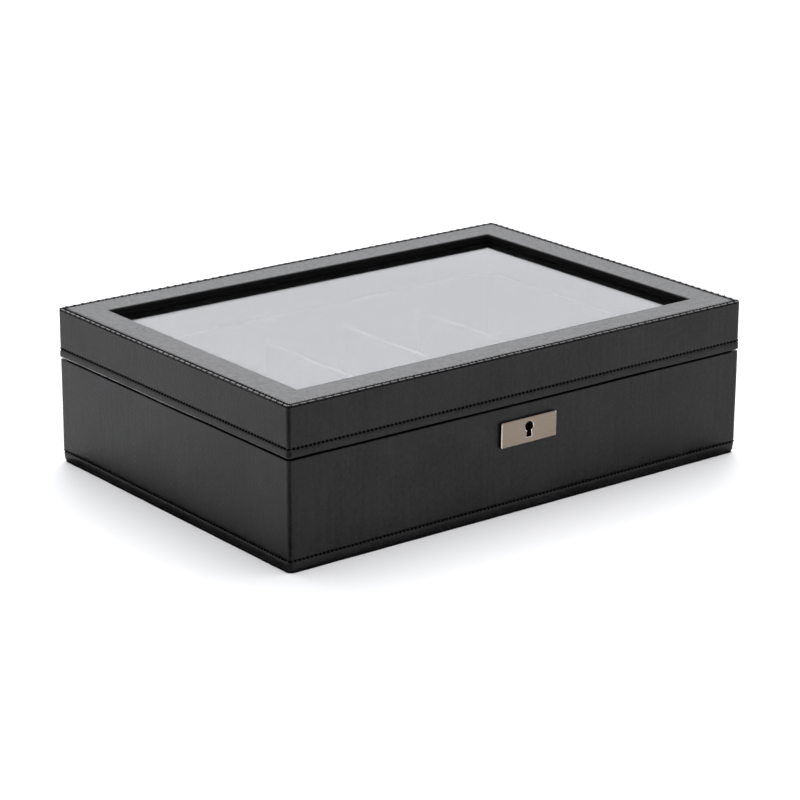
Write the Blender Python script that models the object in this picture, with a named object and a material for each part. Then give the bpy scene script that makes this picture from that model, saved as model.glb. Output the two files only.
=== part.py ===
"""A leather-covered organizer box for five pairs of glasses, with a glazed hinged lid and a key lock.

Blender 4.5, metres, +Z up. The box stands on Z = 0 and its front faces -Y. The origin is the centre
of the underside. The lid turns on two butt hinges at the back, and the lock's bolt slides along X.

Base and lid are both frames of boards wrapped in leather, so their sections are drawn once as
(inset, z) points, where inset is the distance inwards from the outer face of the leather. A skin
sweeps its section round the whole rectangle, and a rail follows one side with mitred ends.
"""

import math

import bmesh
import bpy
from mathutils import Matrix, Vector

MM = 0.001

# Driving dimensions: the box over its leather.
WIDTH = 362 * MM
DEPTH = 254 * MM
HEIGHT = 104 * MM
SEAM_Z = 71.2 * MM
SEAM_GAP = 0.4 * MM
CORNER_RADIUS = 2.5 * MM
SQUARE_CORNER = 0.3 * MM

# What the walls are made of, and the glue and fitting gaps between the layers.
SKIN = 1.2 * MM
GLUE_GAP = 0.2 * MM
FIT_GAP = 0.3 * MM
BOARD = 14 * MM
LINING = 6.8 * MM
LEATHER_TURN_IN = 15.3 * MM
BOARD_OUTER = SKIN + GLUE_GAP
BOARD_INNER = BOARD_OUTER + BOARD
LINING_OUTER = BOARD_INNER + FIT_GAP
LINING_INNER = LINING_OUTER + LINING

# Levels of the base, from the table up.
FELT_THICK = 1.3 * MM
FELT_INSET = 3 * MM
WRAP_BOTTOM = 1.5 * MM
UNDER_TURN_IN = 14 * MM
BOARD_BOTTOM = WRAP_BOTTOM + SKIN + GLUE_GAP
FLOOR_THICK = 6 * MM
FLOOR_TOP = BOARD_BOTTOM + FLOOR_THICK
PAD_THICK = 4 * MM
PAD_BOTTOM = FLOOR_TOP + FIT_GAP
RIM_Z = SEAM_Z - SEAM_GAP / 2
LIP_Z = RIM_Z + 3 * MM

# Levels and widths of the lid.
LID_BOTTOM = SEAM_Z + SEAM_GAP / 2
FRAME_WIDTH = 24 * MM
GLASS_RECESS = 4.2 * MM
GLASS_THICK = 3 * MM
GLASS_TOP = HEIGHT - GLASS_RECESS
GLASS_BOTTOM = GLASS_TOP - GLASS_THICK
GLASS_INSET = 15.8 * MM
LIP_UNDERSIDE = GLASS_TOP + FIT_GAP
LID_LINING_BOTTOM = LIP_Z + 0.8 * MM
LID_LINING_INNER = LINING_INNER - GLUE_GAP
RAIL_OUTER_BOARD = 13.7 * MM

# Five compartments between four dividers.
COMPARTMENTS = 5
DIVIDER_THICK = 5 * MM
DIVIDER_TOP = 57.8 * MM

# Hinges: axis just outside the back face, so that the lid's edge clears the base's as it turns.
# Each leaf has a wedge behind the barrel, and the two wedges meet when the lid is fully open.
HINGE_AXIS_Y = DEPTH / 2 + 0.2 * MM
HINGE_AXIS_Z = SEAM_Z
HINGE_CENTRE_X = 112 * MM
HINGE_LENGTH = 38 * MM
KNUCKLES = 5
KNUCKLE_GAP = 0.3 * MM
BARREL_RADIUS = 1.9 * MM
BORE_RADIUS = 1.05 * MM
PIN_RADIUS = 0.9 * MM
LID_OPEN_DEG = 95
STOP_FACE_DEG = LID_OPEN_DEG / 2 + 0.5
STOP_WEDGE_DEG = 22
STOP_RADIUS = 3.2 * MM
LEAF_THICK = 1.1 * MM
LEAF_OUTER_Y = HINGE_AXIS_Y - BARREL_RADIUS - 0.2 * MM
LEAF_INNER_Y = 113.8 * MM
HINGE_SCREW_X = 12 * MM
HINGE_SCREW_Y = 119.4 * MM

# Countersunk wood screws, all alike.
SCREW_HEAD_RADIUS = 2.2 * MM
SCREW_HEAD_DEPTH = 0.8 * MM
SCREW_SHANK_RADIUS = 0.9 * MM
SCREW_LENGTH = 9 * MM
SCREW_CLEARANCE = 0.3 * MM

# Lock: a plate on the leather and a case let into the front board from its rim.
PLATE_WIDTH = 44.5 * MM
PLATE_HEIGHT = 16.5 * MM
PLATE_PROUD = HINGE_AXIS_Y + STOP_RADIUS * math.cos(math.radians(STOP_FACE_DEG)) - DEPTH / 2
PLATE_Z = 53.2 * MM
PLATE_BEVEL = 0.35 * MM
PRONG_X = 17.5 * MM
PRONG_RADIUS = 1.0 * MM
PRONG_LENGTH = 3.2 * MM
KEYHOLE_Z = 55.6 * MM
KEYHOLE_RADIUS = 3.0 * MM
KEYHOLE_FOOT_Z = 48.9 * MM
KEYHOLE_NECK = 1.15 * MM
KEYHOLE_FOOT = 1.75 * MM
LOCK_Y = -118.1 * MM
CASE_HALF_X = 19.4 * MM
CASE_HALF_Y = 4.9 * MM
CASE_BOTTOM = 44 * MM
CASE_WALL = 1.0 * MM
SELVEDGE_HALF_X = 26 * MM
SELVEDGE_HALF_Y = 5.1 * MM
SELVEDGE_THICK = 1.1 * MM
CASE_SCREW_X = 22.8 * MM
STAPLE_HALF_X = 1.1 * MM
STAPLE_HALF_Y = 3.2 * MM
STAPLE_LEG = 1.2 * MM
STAPLE_BOTTOM = 62.4 * MM
STRIKE_HALF_X = 20 * MM
STRIKE_HALF_Y = 4.4 * MM
STRIKE_SCREW_X = 14.5 * MM
BOLT_HALF_THICK = 1.3 * MM
BOLT_BAR_Z = (59.6 * MM, 61.8 * MM)
BOLT_TIP_Z = (64.5 * MM, 67.4 * MM)
BOLT_LEFT = -12 * MM
BOLT_RIGHT = 8 * MM
BOLT_TIP_X = -1.9 * MM
BOLT_POST_WIDTH = 4.5 * MM
TALON_HALF_X = 2.6 * MM
TALON_DEPTH = 1.2 * MM
KEY_POST_RADIUS = 1.1 * MM
SPRING_THICK = 0.45 * MM

SIDES = ("front", "right", "back", "left")
ROUND_STEPS = 4
CIRCLE_STEPS = 20


def clear_scene():
    for obj in list(bpy.data.objects):
        bpy.data.objects.remove(obj)


def make_material(name, colour, roughness, metallic=0.0, transmission=0.0):
    material = bpy.data.materials.new(name)
    material.use_nodes = True
    shader = material.node_tree.nodes["Principled BSDF"]
    shader.inputs["Base Color"].default_value = (*colour, 1.0)
    shader.inputs["Roughness"].default_value = roughness
    shader.inputs["Metallic"].default_value = metallic
    shader.inputs["Transmission Weight"].default_value = transmission
    return material


# Outlines: lists of 2D points.


def arc(centre, radius, start_deg, end_deg, steps=ROUND_STEPS):
    """Points on a circle from one angle to another, both included."""
    points = []
    for i in range(steps + 1):
        angle = math.radians(start_deg + (end_deg - start_deg) * i / steps)
        points.append((centre[0] + radius * math.cos(angle), centre[1] + radius * math.sin(angle)))
    return points


def circle(centre, radius, steps=CIRCLE_STEPS):
    return arc(centre, radius, 0, 360, steps)[:-1]


def rectangle(low, high):
    return [(low[0], low[1]), (high[0], low[1]), (high[0], high[1]), (low[0], high[1])]


def sector(centre, inner, outer, start_deg, end_deg):
    return arc(centre, outer, start_deg, end_deg, 2) + arc(centre, inner, end_deg, start_deg, 2)


def keyhole_outline(clearance=0.0):
    """A round hole over a stem that widens towards its foot, in X and Z."""
    radius = KEYHOLE_RADIUS + clearance
    neck = KEYHOLE_NECK + clearance
    foot = KEYHOLE_FOOT + clearance
    foot_z = KEYHOLE_FOOT_Z - clearance
    side = math.degrees(math.asin(neck / radius))
    round_part = arc((0, KEYHOLE_Z), radius, side - 90, 270 - side, CIRCLE_STEPS)
    return round_part + [(-foot, foot_z), (foot, foot_z)]


# Solids: each function adds one closed body to a bmesh.


def add_prism(bm, outline, axis, start, end):
    """Extrudes an outline along an axis. Its two coordinates are the other axes, in X, Y, Z order."""

    def point(pair, along):
        coordinates = list(pair)
        coordinates.insert("XYZ".index(axis), along)
        return bm.verts.new(coordinates)

    first = [point(pair, start) for pair in outline]
    last = [point(pair, end) for pair in outline]
    bm.faces.new(first)
    bm.faces.new(last)
    for i, vert in enumerate(first):
        j = (i + 1) % len(first)
        bm.faces.new((vert, first[j], last[j], last[i]))


def add_box(bm, low, high):
    add_prism(bm, rectangle(low[:2], high[:2]), "Z", low[2], high[2])


def rounded_loop(bm, inset, z, radius):
    """One level of a swept skin: the box's rectangle, set in, with round corners."""
    half_x, half_y = WIDTH / 2 - inset, DEPTH / 2 - inset
    verts = []
    for quarter, (sign_x, sign_y) in enumerate(((1, 1), (-1, 1), (-1, -1), (1, -1))):
        centre = (sign_x * (half_x - radius), sign_y * (half_y - radius))
        for x, y in arc(centre, radius, 90 * quarter, 90 * quarter + 90):
            verts.append(bm.verts.new((x, y, z)))
    return verts


def add_skin(bm, exposed, hidden):
    """Sweeps a closed section round the box. Corners are round where the skin is exposed."""
    loops = [rounded_loop(bm, i, z, max(CORNER_RADIUS - i, SQUARE_CORNER)) for i, z in exposed]
    loops += [rounded_loop(bm, i, z, SQUARE_CORNER) for i, z in hidden]
    for k, loop in enumerate(loops):
        following = loops[(k + 1) % len(loops)]
        for i, vert in enumerate(loop):
            j = (i + 1) % len(loop)
            bm.faces.new((vert, loop[j], following[j], following[i]))


def add_rail(bm, section, side):
    """Runs a closed section along one side of the box, mitred at both ends."""
    quarter_turn = Matrix.Rotation(math.radians(90 * SIDES.index(side)), 3, "Z")
    along_x = side in ("front", "back")
    half_length, half_across = (WIDTH / 2, DEPTH / 2) if along_x else (DEPTH / 2, WIDTH / 2)
    mitre_gap = FIT_GAP / 2

    def end(sign):
        verts = []
        for inset, z in section:
            at = (sign * (half_length - inset - mitre_gap), inset - half_across, z)
            verts.append(bm.verts.new(quarter_turn @ Vector(at)))
        return verts

    first, last = end(-1), end(1)
    bm.faces.new(first)
    bm.faces.new(last)
    for i, vert in enumerate(first):
        j = (i + 1) % len(first)
        bm.faces.new((vert, first[j], last[j], last[i]))


def add_lathe(bm, section, steps=12):
    """Turns (radius, z) points about the Z axis. The first and last points lie on the axis."""
    rings = []
    for radius, z in section[1:-1]:
        rings.append([bm.verts.new((x, y, z)) for x, y in circle((0, 0), radius, steps)])
    top = bm.verts.new((0, 0, section[0][1]))
    bottom = bm.verts.new((0, 0, section[-1][1]))
    for i in range(steps):
        j = (i + 1) % steps
        bm.faces.new((top, rings[0][i], rings[0][j]))
        for upper, lower in zip(rings, rings[1:]):
            bm.faces.new((upper[i], lower[i], lower[j], upper[j]))
        bm.faces.new((bottom, rings[-1][j], rings[-1][i]))


# Objects.


def mesh_from(name, fill):
    """A mesh made by fill(bm), facing out, with its round faces shaded smooth."""
    bm = bmesh.new()
    fill(bm)
    bmesh.ops.recalc_face_normals(bm, faces=bm.faces)
    mesh = bpy.data.meshes.new(name)
    bm.to_mesh(mesh)
    bm.free()
    mesh.shade_smooth()
    mesh.set_sharp_from_angle(angle=math.radians(35))
    return mesh


def add_object(name, mesh, material=None, parent=None, location=(0, 0, 0), rotation=(0, 0, 0)):
    """Adds a mesh to the scene. Its place stays the same whatever its parent is."""
    if material is not None and not mesh.materials:
        mesh.materials.append(material)
    obj = bpy.data.objects.new(name, mesh)
    bpy.context.scene.collection.objects.link(obj)
    obj.location = location
    obj.rotation_euler = rotation
    if parent is not None:
        obj.parent = parent
        obj.matrix_parent_inverse = Matrix.Translation(parent.location).inverted()
    return obj


def add_solid(name, fill, material, parent=None):
    return add_object(name, mesh_from(name, fill), material, parent)


def helper(name, fill):
    """A body that only cuts or joins others."""
    obj = add_object(name, mesh_from(name, fill))
    obj.hide_render = True
    obj.display_type = "WIRE"
    return obj


def boolean(target, operation, *others):
    for other in others:
        modifier = target.modifiers.new(f"{operation.title()} {other.name}", "BOOLEAN")
        modifier.operation = operation
        modifier.solver = "EXACT"
        modifier.object = other


def evaluated_mesh(obj):
    """The object's mesh with its modifiers applied, for pieces that share it. Removes the object."""
    graph = bpy.context.evaluated_depsgraph_get()
    mesh = bpy.data.meshes.new_from_object(obj.evaluated_get(graph))
    bpy.data.objects.remove(obj)
    return mesh


# Screws.


def make_screw_mesh():
    """A countersunk wood screw with a cross recess, pointing down, its head's face at Z = 0."""
    section = [
        (0, 0),
        (SCREW_HEAD_RADIUS, 0),
        (SCREW_SHANK_RADIUS, -SCREW_HEAD_DEPTH),
        (SCREW_SHANK_RADIUS, 2.5 * MM - SCREW_LENGTH),
        (0.2 * MM, 0.1 * MM - SCREW_LENGTH),
        (0, -SCREW_LENGTH),
    ]
    arm, half_width, depth = 1.3 * MM, 0.28 * MM, 0.5 * MM
    screw = add_solid("screw", lambda bm: add_lathe(bm, section), None)
    slot_x = helper("slot_x", lambda bm: add_box(bm, (-arm, -half_width, -depth), (arm, half_width, MM)))
    slot_y = helper("slot_y", lambda bm: add_box(bm, (-half_width, -arm, -depth), (half_width, arm, MM)))
    boolean(screw, "DIFFERENCE", slot_x, slot_y)
    mesh = evaluated_mesh(screw)
    bpy.data.objects.remove(slot_x)
    bpy.data.objects.remove(slot_y)
    return mesh


def add_screw_holes(bm, places, up):
    """Countersunk holes for screws whose heads' faces are at the given (x, y, z) places."""
    sign = 1 if up else -1
    mouth = SCREW_HEAD_RADIUS + 0.2 * MM
    hole = SCREW_SHANK_RADIUS + 0.15 * MM
    for x, y, z in places:
        steps = (
            (mouth, z - sign * MM),
            (mouth, z),
            (hole, z + sign * (SCREW_HEAD_DEPTH + 0.1 * MM)),
            (hole, z + sign * (SCREW_LENGTH + SCREW_CLEARANCE)),
        )
        rings = [[bm.verts.new((px, py, at)) for px, py in circle((x, y), r, 12)] for r, at in steps]
        bm.faces.new(rings[0])
        bm.faces.new(rings[-1])
        for lower, upper in zip(rings, rings[1:]):
            for i in range(len(lower)):
                j = (i + 1) % len(lower)
                bm.faces.new((lower[i], lower[j], upper[j], upper[i]))


def screw_rotation(up):
    return (math.pi, 0, 0) if up else (0, 0, 0)


# The base.


def make_base(materials, cutters):
    leather, wood = materials["black_leather"], materials["mdf"]
    suede, felt = materials["suede_lining"], materials["felt"]
    edge = 1.0 * MM

    def felt_sheet(bm):
        half = (WIDTH / 2 - FELT_INSET, DEPTH / 2 - FELT_INSET)
        add_box(bm, (-half[0], -half[1], 0), (half[0], half[1], FELT_THICK))

    def wrap(bm):
        exposed = [(UNDER_TURN_IN, WRAP_BOTTOM)]
        exposed += arc((edge, WRAP_BOTTOM + edge), edge, 270, 180)
        exposed += arc((SKIN, RIM_Z - SKIN), SKIN, 180, 90)
        exposed += [(LEATHER_TURN_IN, RIM_Z)]
        hidden = [
            (LEATHER_TURN_IN, RIM_Z - SKIN),
            (SKIN, RIM_Z - SKIN),
            (SKIN, WRAP_BOTTOM + SKIN),
            (UNDER_TURN_IN, WRAP_BOTTOM + SKIN),
        ]
        add_skin(bm, exposed, hidden)

    def floor(bm):
        half = (WIDTH / 2 - BOARD_INNER - FIT_GAP, DEPTH / 2 - BOARD_INNER - FIT_GAP)
        add_box(bm, (-half[0], -half[1], BOARD_BOTTOM), (half[0], half[1], FLOOR_TOP))

    board_top = RIM_Z - SKIN - GLUE_GAP
    board_section = rectangle((BOARD_OUTER, BOARD_BOTTOM), (BOARD_INNER, board_top))
    lip_round = 1.4 * MM
    lining_section = [(LINING_INNER, PAD_BOTTOM), (LINING_OUTER, PAD_BOTTOM)]
    lining_section += arc((LINING_OUTER + lip_round, LIP_Z - lip_round), lip_round, 180, 90)
    lining_section += arc((LINING_INNER - lip_round, LIP_Z - lip_round), lip_round, 90, 0)

    add_solid("underside_felt", felt_sheet, felt)
    add_solid("base_floor_board", floor, wood)
    base_wrap = add_solid("base_leather_wrap", wrap, leather)
    boolean(base_wrap, "DIFFERENCE", cutters["hinge_notches"], cutters["base_leaf_recesses"])
    boolean(base_wrap, "DIFFERENCE", cutters["selvedge_recess"], cutters["keyway"], cutters["prong_holes"])
    for side in SIDES:
        board = add_solid(f"base_{side}_board", lambda bm, s=side: add_rail(bm, board_section, s), wood)
        add_solid(f"base_{side}_lining", lambda bm, s=side: add_rail(bm, lining_section, s), suede)
        if side == "front":
            boolean(board, "DIFFERENCE", cutters["case_pocket"], cutters["keyway"])
            boolean(board, "DIFFERENCE", cutters["prong_holes"], cutters["case_screw_holes"])
        if side == "back":
            boolean(board, "DIFFERENCE", cutters["base_hinge_screw_holes"])


def make_compartments(materials):
    """Dividers that stand on the floor board, and a pad between each two."""
    half_x = WIDTH / 2 - LINING_INNER
    half_y = DEPTH / 2 - LINING_INNER - FIT_GAP
    clear = (2 * half_x - (COMPARTMENTS - 1) * DIVIDER_THICK) / COMPARTMENTS
    pitch = clear + DIVIDER_THICK
    radius = DIVIDER_THICK / 2
    pad_half_x = clear / 2 - FIT_GAP
    pad_round = 1.2 * MM

    def divider(bm):
        outline = [(-radius, PAD_BOTTOM), (radius, PAD_BOTTOM)]
        outline += arc((0, DIVIDER_TOP - radius), radius, 0, 180, 2 * ROUND_STEPS)
        add_prism(bm, outline, "Y", -half_y, half_y)

    def pad(bm):
        top = PAD_BOTTOM + PAD_THICK
        outline = [(-pad_half_x, PAD_BOTTOM), (pad_half_x, PAD_BOTTOM)]
        outline += arc((pad_half_x - pad_round, top - pad_round), pad_round, 0, 90, 2)
        outline += arc((pad_round - pad_half_x, top - pad_round), pad_round, 90, 180, 2)
        add_prism(bm, outline, "Y", -half_y, half_y)

    divider_mesh, pad_mesh = mesh_from("divider", divider), mesh_from("compartment_pad", pad)
    for i in range(COMPARTMENTS - 1):
        x = pitch * (i - (COMPARTMENTS - 2) / 2)
        add_object(f"divider_{i + 1}", divider_mesh, materials["suede_lining"], location=(x, 0, 0))
    for i in range(COMPARTMENTS):
        x = pitch * (i - (COMPARTMENTS - 1) / 2)
        add_object(f"compartment_pad_{i + 1}", pad_mesh, materials["suede_lining"], location=(x, 0, 0))


# The lid.


def make_lid(materials, cutters, lid_axis):
    leather, wood, suede = materials["black_leather"], materials["mdf"], materials["suede_lining"]
    edge, top_edge, window_edge = 1.0 * MM, 1.5 * MM, 2.2 * MM
    window_skin_inner = FRAME_WIDTH - SKIN

    def cover(bm):
        exposed = [(LEATHER_TURN_IN, LID_BOTTOM)]
        exposed += arc((edge, LID_BOTTOM + edge), edge, 270, 180)
        exposed += arc((top_edge, HEIGHT - top_edge), top_edge, 180, 90)
        exposed += arc((FRAME_WIDTH - window_edge, HEIGHT - window_edge), window_edge, 90, 0)
        exposed += [(FRAME_WIDTH, LIP_UNDERSIDE)]
        hidden = [
            (window_skin_inner, LIP_UNDERSIDE),
            (window_skin_inner, HEIGHT - SKIN),
            (SKIN, HEIGHT - SKIN),
            (SKIN, LID_BOTTOM + SKIN),
            (LEATHER_TURN_IN, LID_BOTTOM + SKIN),
        ]
        add_skin(bm, exposed, hidden)

    def glass(bm):
        half = (WIDTH / 2 - GLASS_INSET, DEPTH / 2 - GLASS_INSET)
        add_box(bm, (-half[0], -half[1], GLASS_BOTTOM), (half[0], half[1], GLASS_TOP))

    rail_bottom, rail_top = LID_BOTTOM + SKIN + GLUE_GAP, HEIGHT - SKIN - GLUE_GAP
    rail_inner = BOARD_OUTER + RAIL_OUTER_BOARD
    lip_inner = window_skin_inner - GLUE_GAP
    rail_section = [
        (BOARD_OUTER, rail_bottom),
        (BOARD_OUTER, rail_top),
        (lip_inner, rail_top),
        (lip_inner, LIP_UNDERSIDE),
        (rail_inner, LIP_UNDERSIDE),
        (rail_inner, rail_bottom),
    ]
    lining_outer, lining_round = rail_inner + FIT_GAP, 1.4 * MM
    lining_section = [(lining_outer, GLASS_BOTTOM - FIT_GAP), (LID_LINING_INNER, GLASS_BOTTOM - FIT_GAP)]
    round_z = LID_LINING_BOTTOM + lining_round
    lining_section += arc((LID_LINING_INNER - lining_round, round_z), lining_round, 360, 270)
    lining_section += [(lining_outer, LID_LINING_BOTTOM)]

    lid_cover = add_solid("lid_leather_cover", cover, leather, lid_axis)
    boolean(lid_cover, "DIFFERENCE", cutters["hinge_notches"], cutters["lid_leaf_recesses"])
    boolean(lid_cover, "DIFFERENCE", cutters["strike_recess"])
    add_solid("lid_glass", glass, materials["glass"], lid_axis)
    for side in SIDES:
        rail = add_solid(f"lid_{side}_rail", lambda bm, s=side: add_rail(bm, rail_section, s), wood, lid_axis)
        add_solid(f"lid_{side}_lining", lambda bm, s=side: add_rail(bm, lining_section, s), suede, lid_axis)
        if side == "front":
            boolean(rail, "DIFFERENCE", cutters["strike_screw_holes"])
        if side == "back":
            boolean(rail, "DIFFERENCE", cutters["lid_hinge_screw_holes"])


# The hinges.


def leaf_levels():
    """(bottom, top) of the base's leaf and of the lid's."""
    return (RIM_Z - LEAF_THICK, RIM_Z), (LID_BOTTOM, LID_BOTTOM + LEAF_THICK)


def hinge_screw_places(z):
    """Screw places on both hinges, from left to right."""
    return [
        (centre + offset, HINGE_SCREW_Y, z)
        for centre in (-HINGE_CENTRE_X, HINGE_CENTRE_X)
        for offset in (-HINGE_SCREW_X, HINGE_SCREW_X)
    ]


def make_leaf_mesh(name, levels, knuckles, up):
    """A leaf with its knuckles, for a hinge centred on X = 0. up is the way its screws point."""
    bottom, top = levels
    pitch = HINGE_LENGTH / KNUCKLES
    axis = (HINGE_AXIS_Y, HINGE_AXIS_Z)
    starts = [k * pitch - HINGE_LENGTH / 2 for k in knuckles]
    spans = [(start + KNUCKLE_GAP / 2, start + pitch - KNUCKLE_GAP / 2) for start in starts]
    half = HINGE_LENGTH / 2
    face_z = bottom if up else top
    side = 1 if up else -1

    def plate(bm):
        add_box(bm, (-half, LEAF_INNER_Y, bottom), (half, LEAF_OUTER_Y, top))

    def tongues(bm):
        for start, end in spans:
            add_box(bm, (start, LEAF_OUTER_Y - MM, bottom), (end, HINGE_AXIS_Y, top))

    def barrels(bm):
        for start, end in spans:
            add_prism(bm, circle(axis, BARREL_RADIUS), "X", start, end)

    def stop(bm):
        start, end = side * STOP_FACE_DEG, side * (STOP_FACE_DEG + STOP_WEDGE_DEG)
        add_prism(bm, sector(axis, BARREL_RADIUS + FIT_GAP, STOP_RADIUS, start, end), "X", -half, half)

    def stop_webs(bm):
        start, end = side * (STOP_FACE_DEG + 3), side * (STOP_FACE_DEG + STOP_WEDGE_DEG - 3)
        for low, high in spans:
            web = sector(axis, BORE_RADIUS + FIT_GAP, STOP_RADIUS - FIT_GAP, start, end)
            add_prism(bm, web, "X", low, high)

    def bore(bm):
        add_prism(bm, circle(axis, BORE_RADIUS), "X", -HINGE_LENGTH, HINGE_LENGTH)

    def holes(bm):
        places = [(x, HINGE_SCREW_Y, face_z) for x in (-HINGE_SCREW_X, HINGE_SCREW_X)]
        add_screw_holes(bm, places, up)

    leaf = add_solid(name, plate, None)
    joined = [helper(fill.__name__, fill) for fill in (tongues, barrels, stop_webs, stop)]
    cut = [helper(fill.__name__, fill) for fill in (bore, holes)]
    boolean(leaf, "UNION", *joined)
    boolean(leaf, "DIFFERENCE", *cut)
    mesh = evaluated_mesh(leaf)
    for tool in joined + cut:
        bpy.data.objects.remove(tool)
    return mesh


def make_hinges(materials, lid_axis, screw_mesh):
    steel = materials["hinge_steel"]
    base_levels, lid_levels = leaf_levels()
    base_leaf = make_leaf_mesh("base_leaf", base_levels, (0, 2, 4), up=False)
    lid_leaf = make_leaf_mesh("lid_leaf", lid_levels, (1, 3), up=True)
    half_pin = HINGE_LENGTH / 2 - 0.2 * MM
    pin_outline = circle((HINGE_AXIS_Y, HINGE_AXIS_Z), PIN_RADIUS, 16)
    pin = mesh_from("hinge_pin", lambda bm: add_prism(bm, pin_outline, "X", -half_pin, half_pin))
    for side, x in (("left", -HINGE_CENTRE_X), ("right", HINGE_CENTRE_X)):
        add_object(f"hinge_{side}_base_leaf", base_leaf, steel, location=(x, 0, 0))
        add_object(f"hinge_{side}_lid_leaf", lid_leaf, steel, lid_axis, location=(x, 0, 0))
        add_object(f"hinge_{side}_pin", pin, steel, location=(x, 0, 0))
    for i, place in enumerate(hinge_screw_places(base_levels[1])):
        add_object(f"hinge_base_screw_{i + 1}", screw_mesh, steel, None, place, screw_rotation(up=False))
    for i, place in enumerate(hinge_screw_places(lid_levels[0])):
        add_object(f"hinge_lid_screw_{i + 1}", screw_mesh, steel, lid_axis, place, screw_rotation(up=True))


# The lock.


def case_screw_places():
    return [(x, LOCK_Y, RIM_Z) for x in (-CASE_SCREW_X, CASE_SCREW_X)]


def strike_screw_places():
    return [(x, LOCK_Y, LID_BOTTOM) for x in (-STRIKE_SCREW_X, STRIKE_SCREW_X)]


def make_lock_plate(nickel):
    """The plate on the leather, with a keyhole and two prongs that are pressed into the board."""
    back_y = -DEPTH / 2 - GLUE_GAP
    half = (PLATE_WIDTH / 2, PLATE_HEIGHT / 2)

    def plate(bm):
        outline = rectangle((-half[0], PLATE_Z - half[1]), (half[0], PLATE_Z + half[1]))
        add_prism(bm, outline, "Y", -DEPTH / 2 - PLATE_PROUD, back_y)

    def prongs(bm):
        for x in (-PRONG_X, PRONG_X):
            add_prism(bm, circle((x, PLATE_Z), PRONG_RADIUS, 12), "Y", back_y - MM, back_y + PRONG_LENGTH)

    lock_plate = add_solid("lock_plate", plate, nickel)
    bevel = lock_plate.modifiers.new("Eased edges", "BEVEL")
    bevel.width = PLATE_BEVEL
    bevel.segments = 2
    front, back = -DEPTH / 2 - 10 * MM, back_y + 5 * MM
    keyhole = helper("plate_keyhole", lambda bm: add_prism(bm, keyhole_outline(), "Y", front, back))
    boolean(lock_plate, "DIFFERENCE", keyhole)
    boolean(lock_plate, "UNION", helper("prongs", prongs))


def make_lock_case(steel):
    """The case, open at its front, under the selvedge that shows in the rim."""
    top = RIM_Z - 0.4 * MM
    y_back, y_front = LOCK_Y + CASE_HALF_Y, LOCK_Y - CASE_HALF_Y + CASE_WALL + 0.2 * MM
    inner_x = CASE_HALF_X - CASE_WALL
    slot_x, slot_y = STAPLE_HALF_X + 0.7 * MM, STAPLE_HALF_Y + 0.6 * MM

    def body(bm):
        add_box(bm, (-CASE_HALF_X, y_front, CASE_BOTTOM), (CASE_HALF_X, y_back, top))

    def selvedge(bm):
        low = (-SELVEDGE_HALF_X, LOCK_Y - SELVEDGE_HALF_Y, RIM_Z - SELVEDGE_THICK)
        add_box(bm, low, (SELVEDGE_HALF_X, LOCK_Y + SELVEDGE_HALF_Y, RIM_Z))

    def cavity(bm):
        low = (-inner_x, y_front - 2 * MM, CASE_BOTTOM + CASE_WALL)
        add_box(bm, low, (inner_x, y_back - CASE_WALL, RIM_Z - SELVEDGE_THICK - CASE_WALL))

    def staple_slot(bm):
        low = (-slot_x, LOCK_Y - slot_y, RIM_Z - 5 * MM)
        add_box(bm, low, (slot_x, LOCK_Y + slot_y, RIM_Z + MM))

    def countersinks(bm):
        add_screw_holes(bm, case_screw_places(), up=False)

    case = add_solid("lock_case", selvedge, steel)
    boolean(case, "UNION", helper("case_body", body))
    boolean(case, "DIFFERENCE", helper("case_cavity", cavity), helper("staple_slot", staple_slot))
    boolean(case, "DIFFERENCE", helper("case_countersinks", countersinks))

    def cover(bm):
        outline = rectangle((-CASE_HALF_X, CASE_BOTTOM), (CASE_HALF_X, RIM_Z - SELVEDGE_THICK - FIT_GAP))
        start = LOCK_Y - CASE_HALF_Y
        add_prism(bm, outline, "Y", start, start + CASE_WALL)

    case_cover = add_solid("lock_case_cover", cover, steel)
    outline = keyhole_outline(clearance=0.3 * MM)
    hole = helper("cover_keyhole", lambda bm: add_prism(bm, outline, "Y", LOCK_Y - 10 * MM, LOCK_Y))
    boolean(case_cover, "DIFFERENCE", hole)


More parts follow.
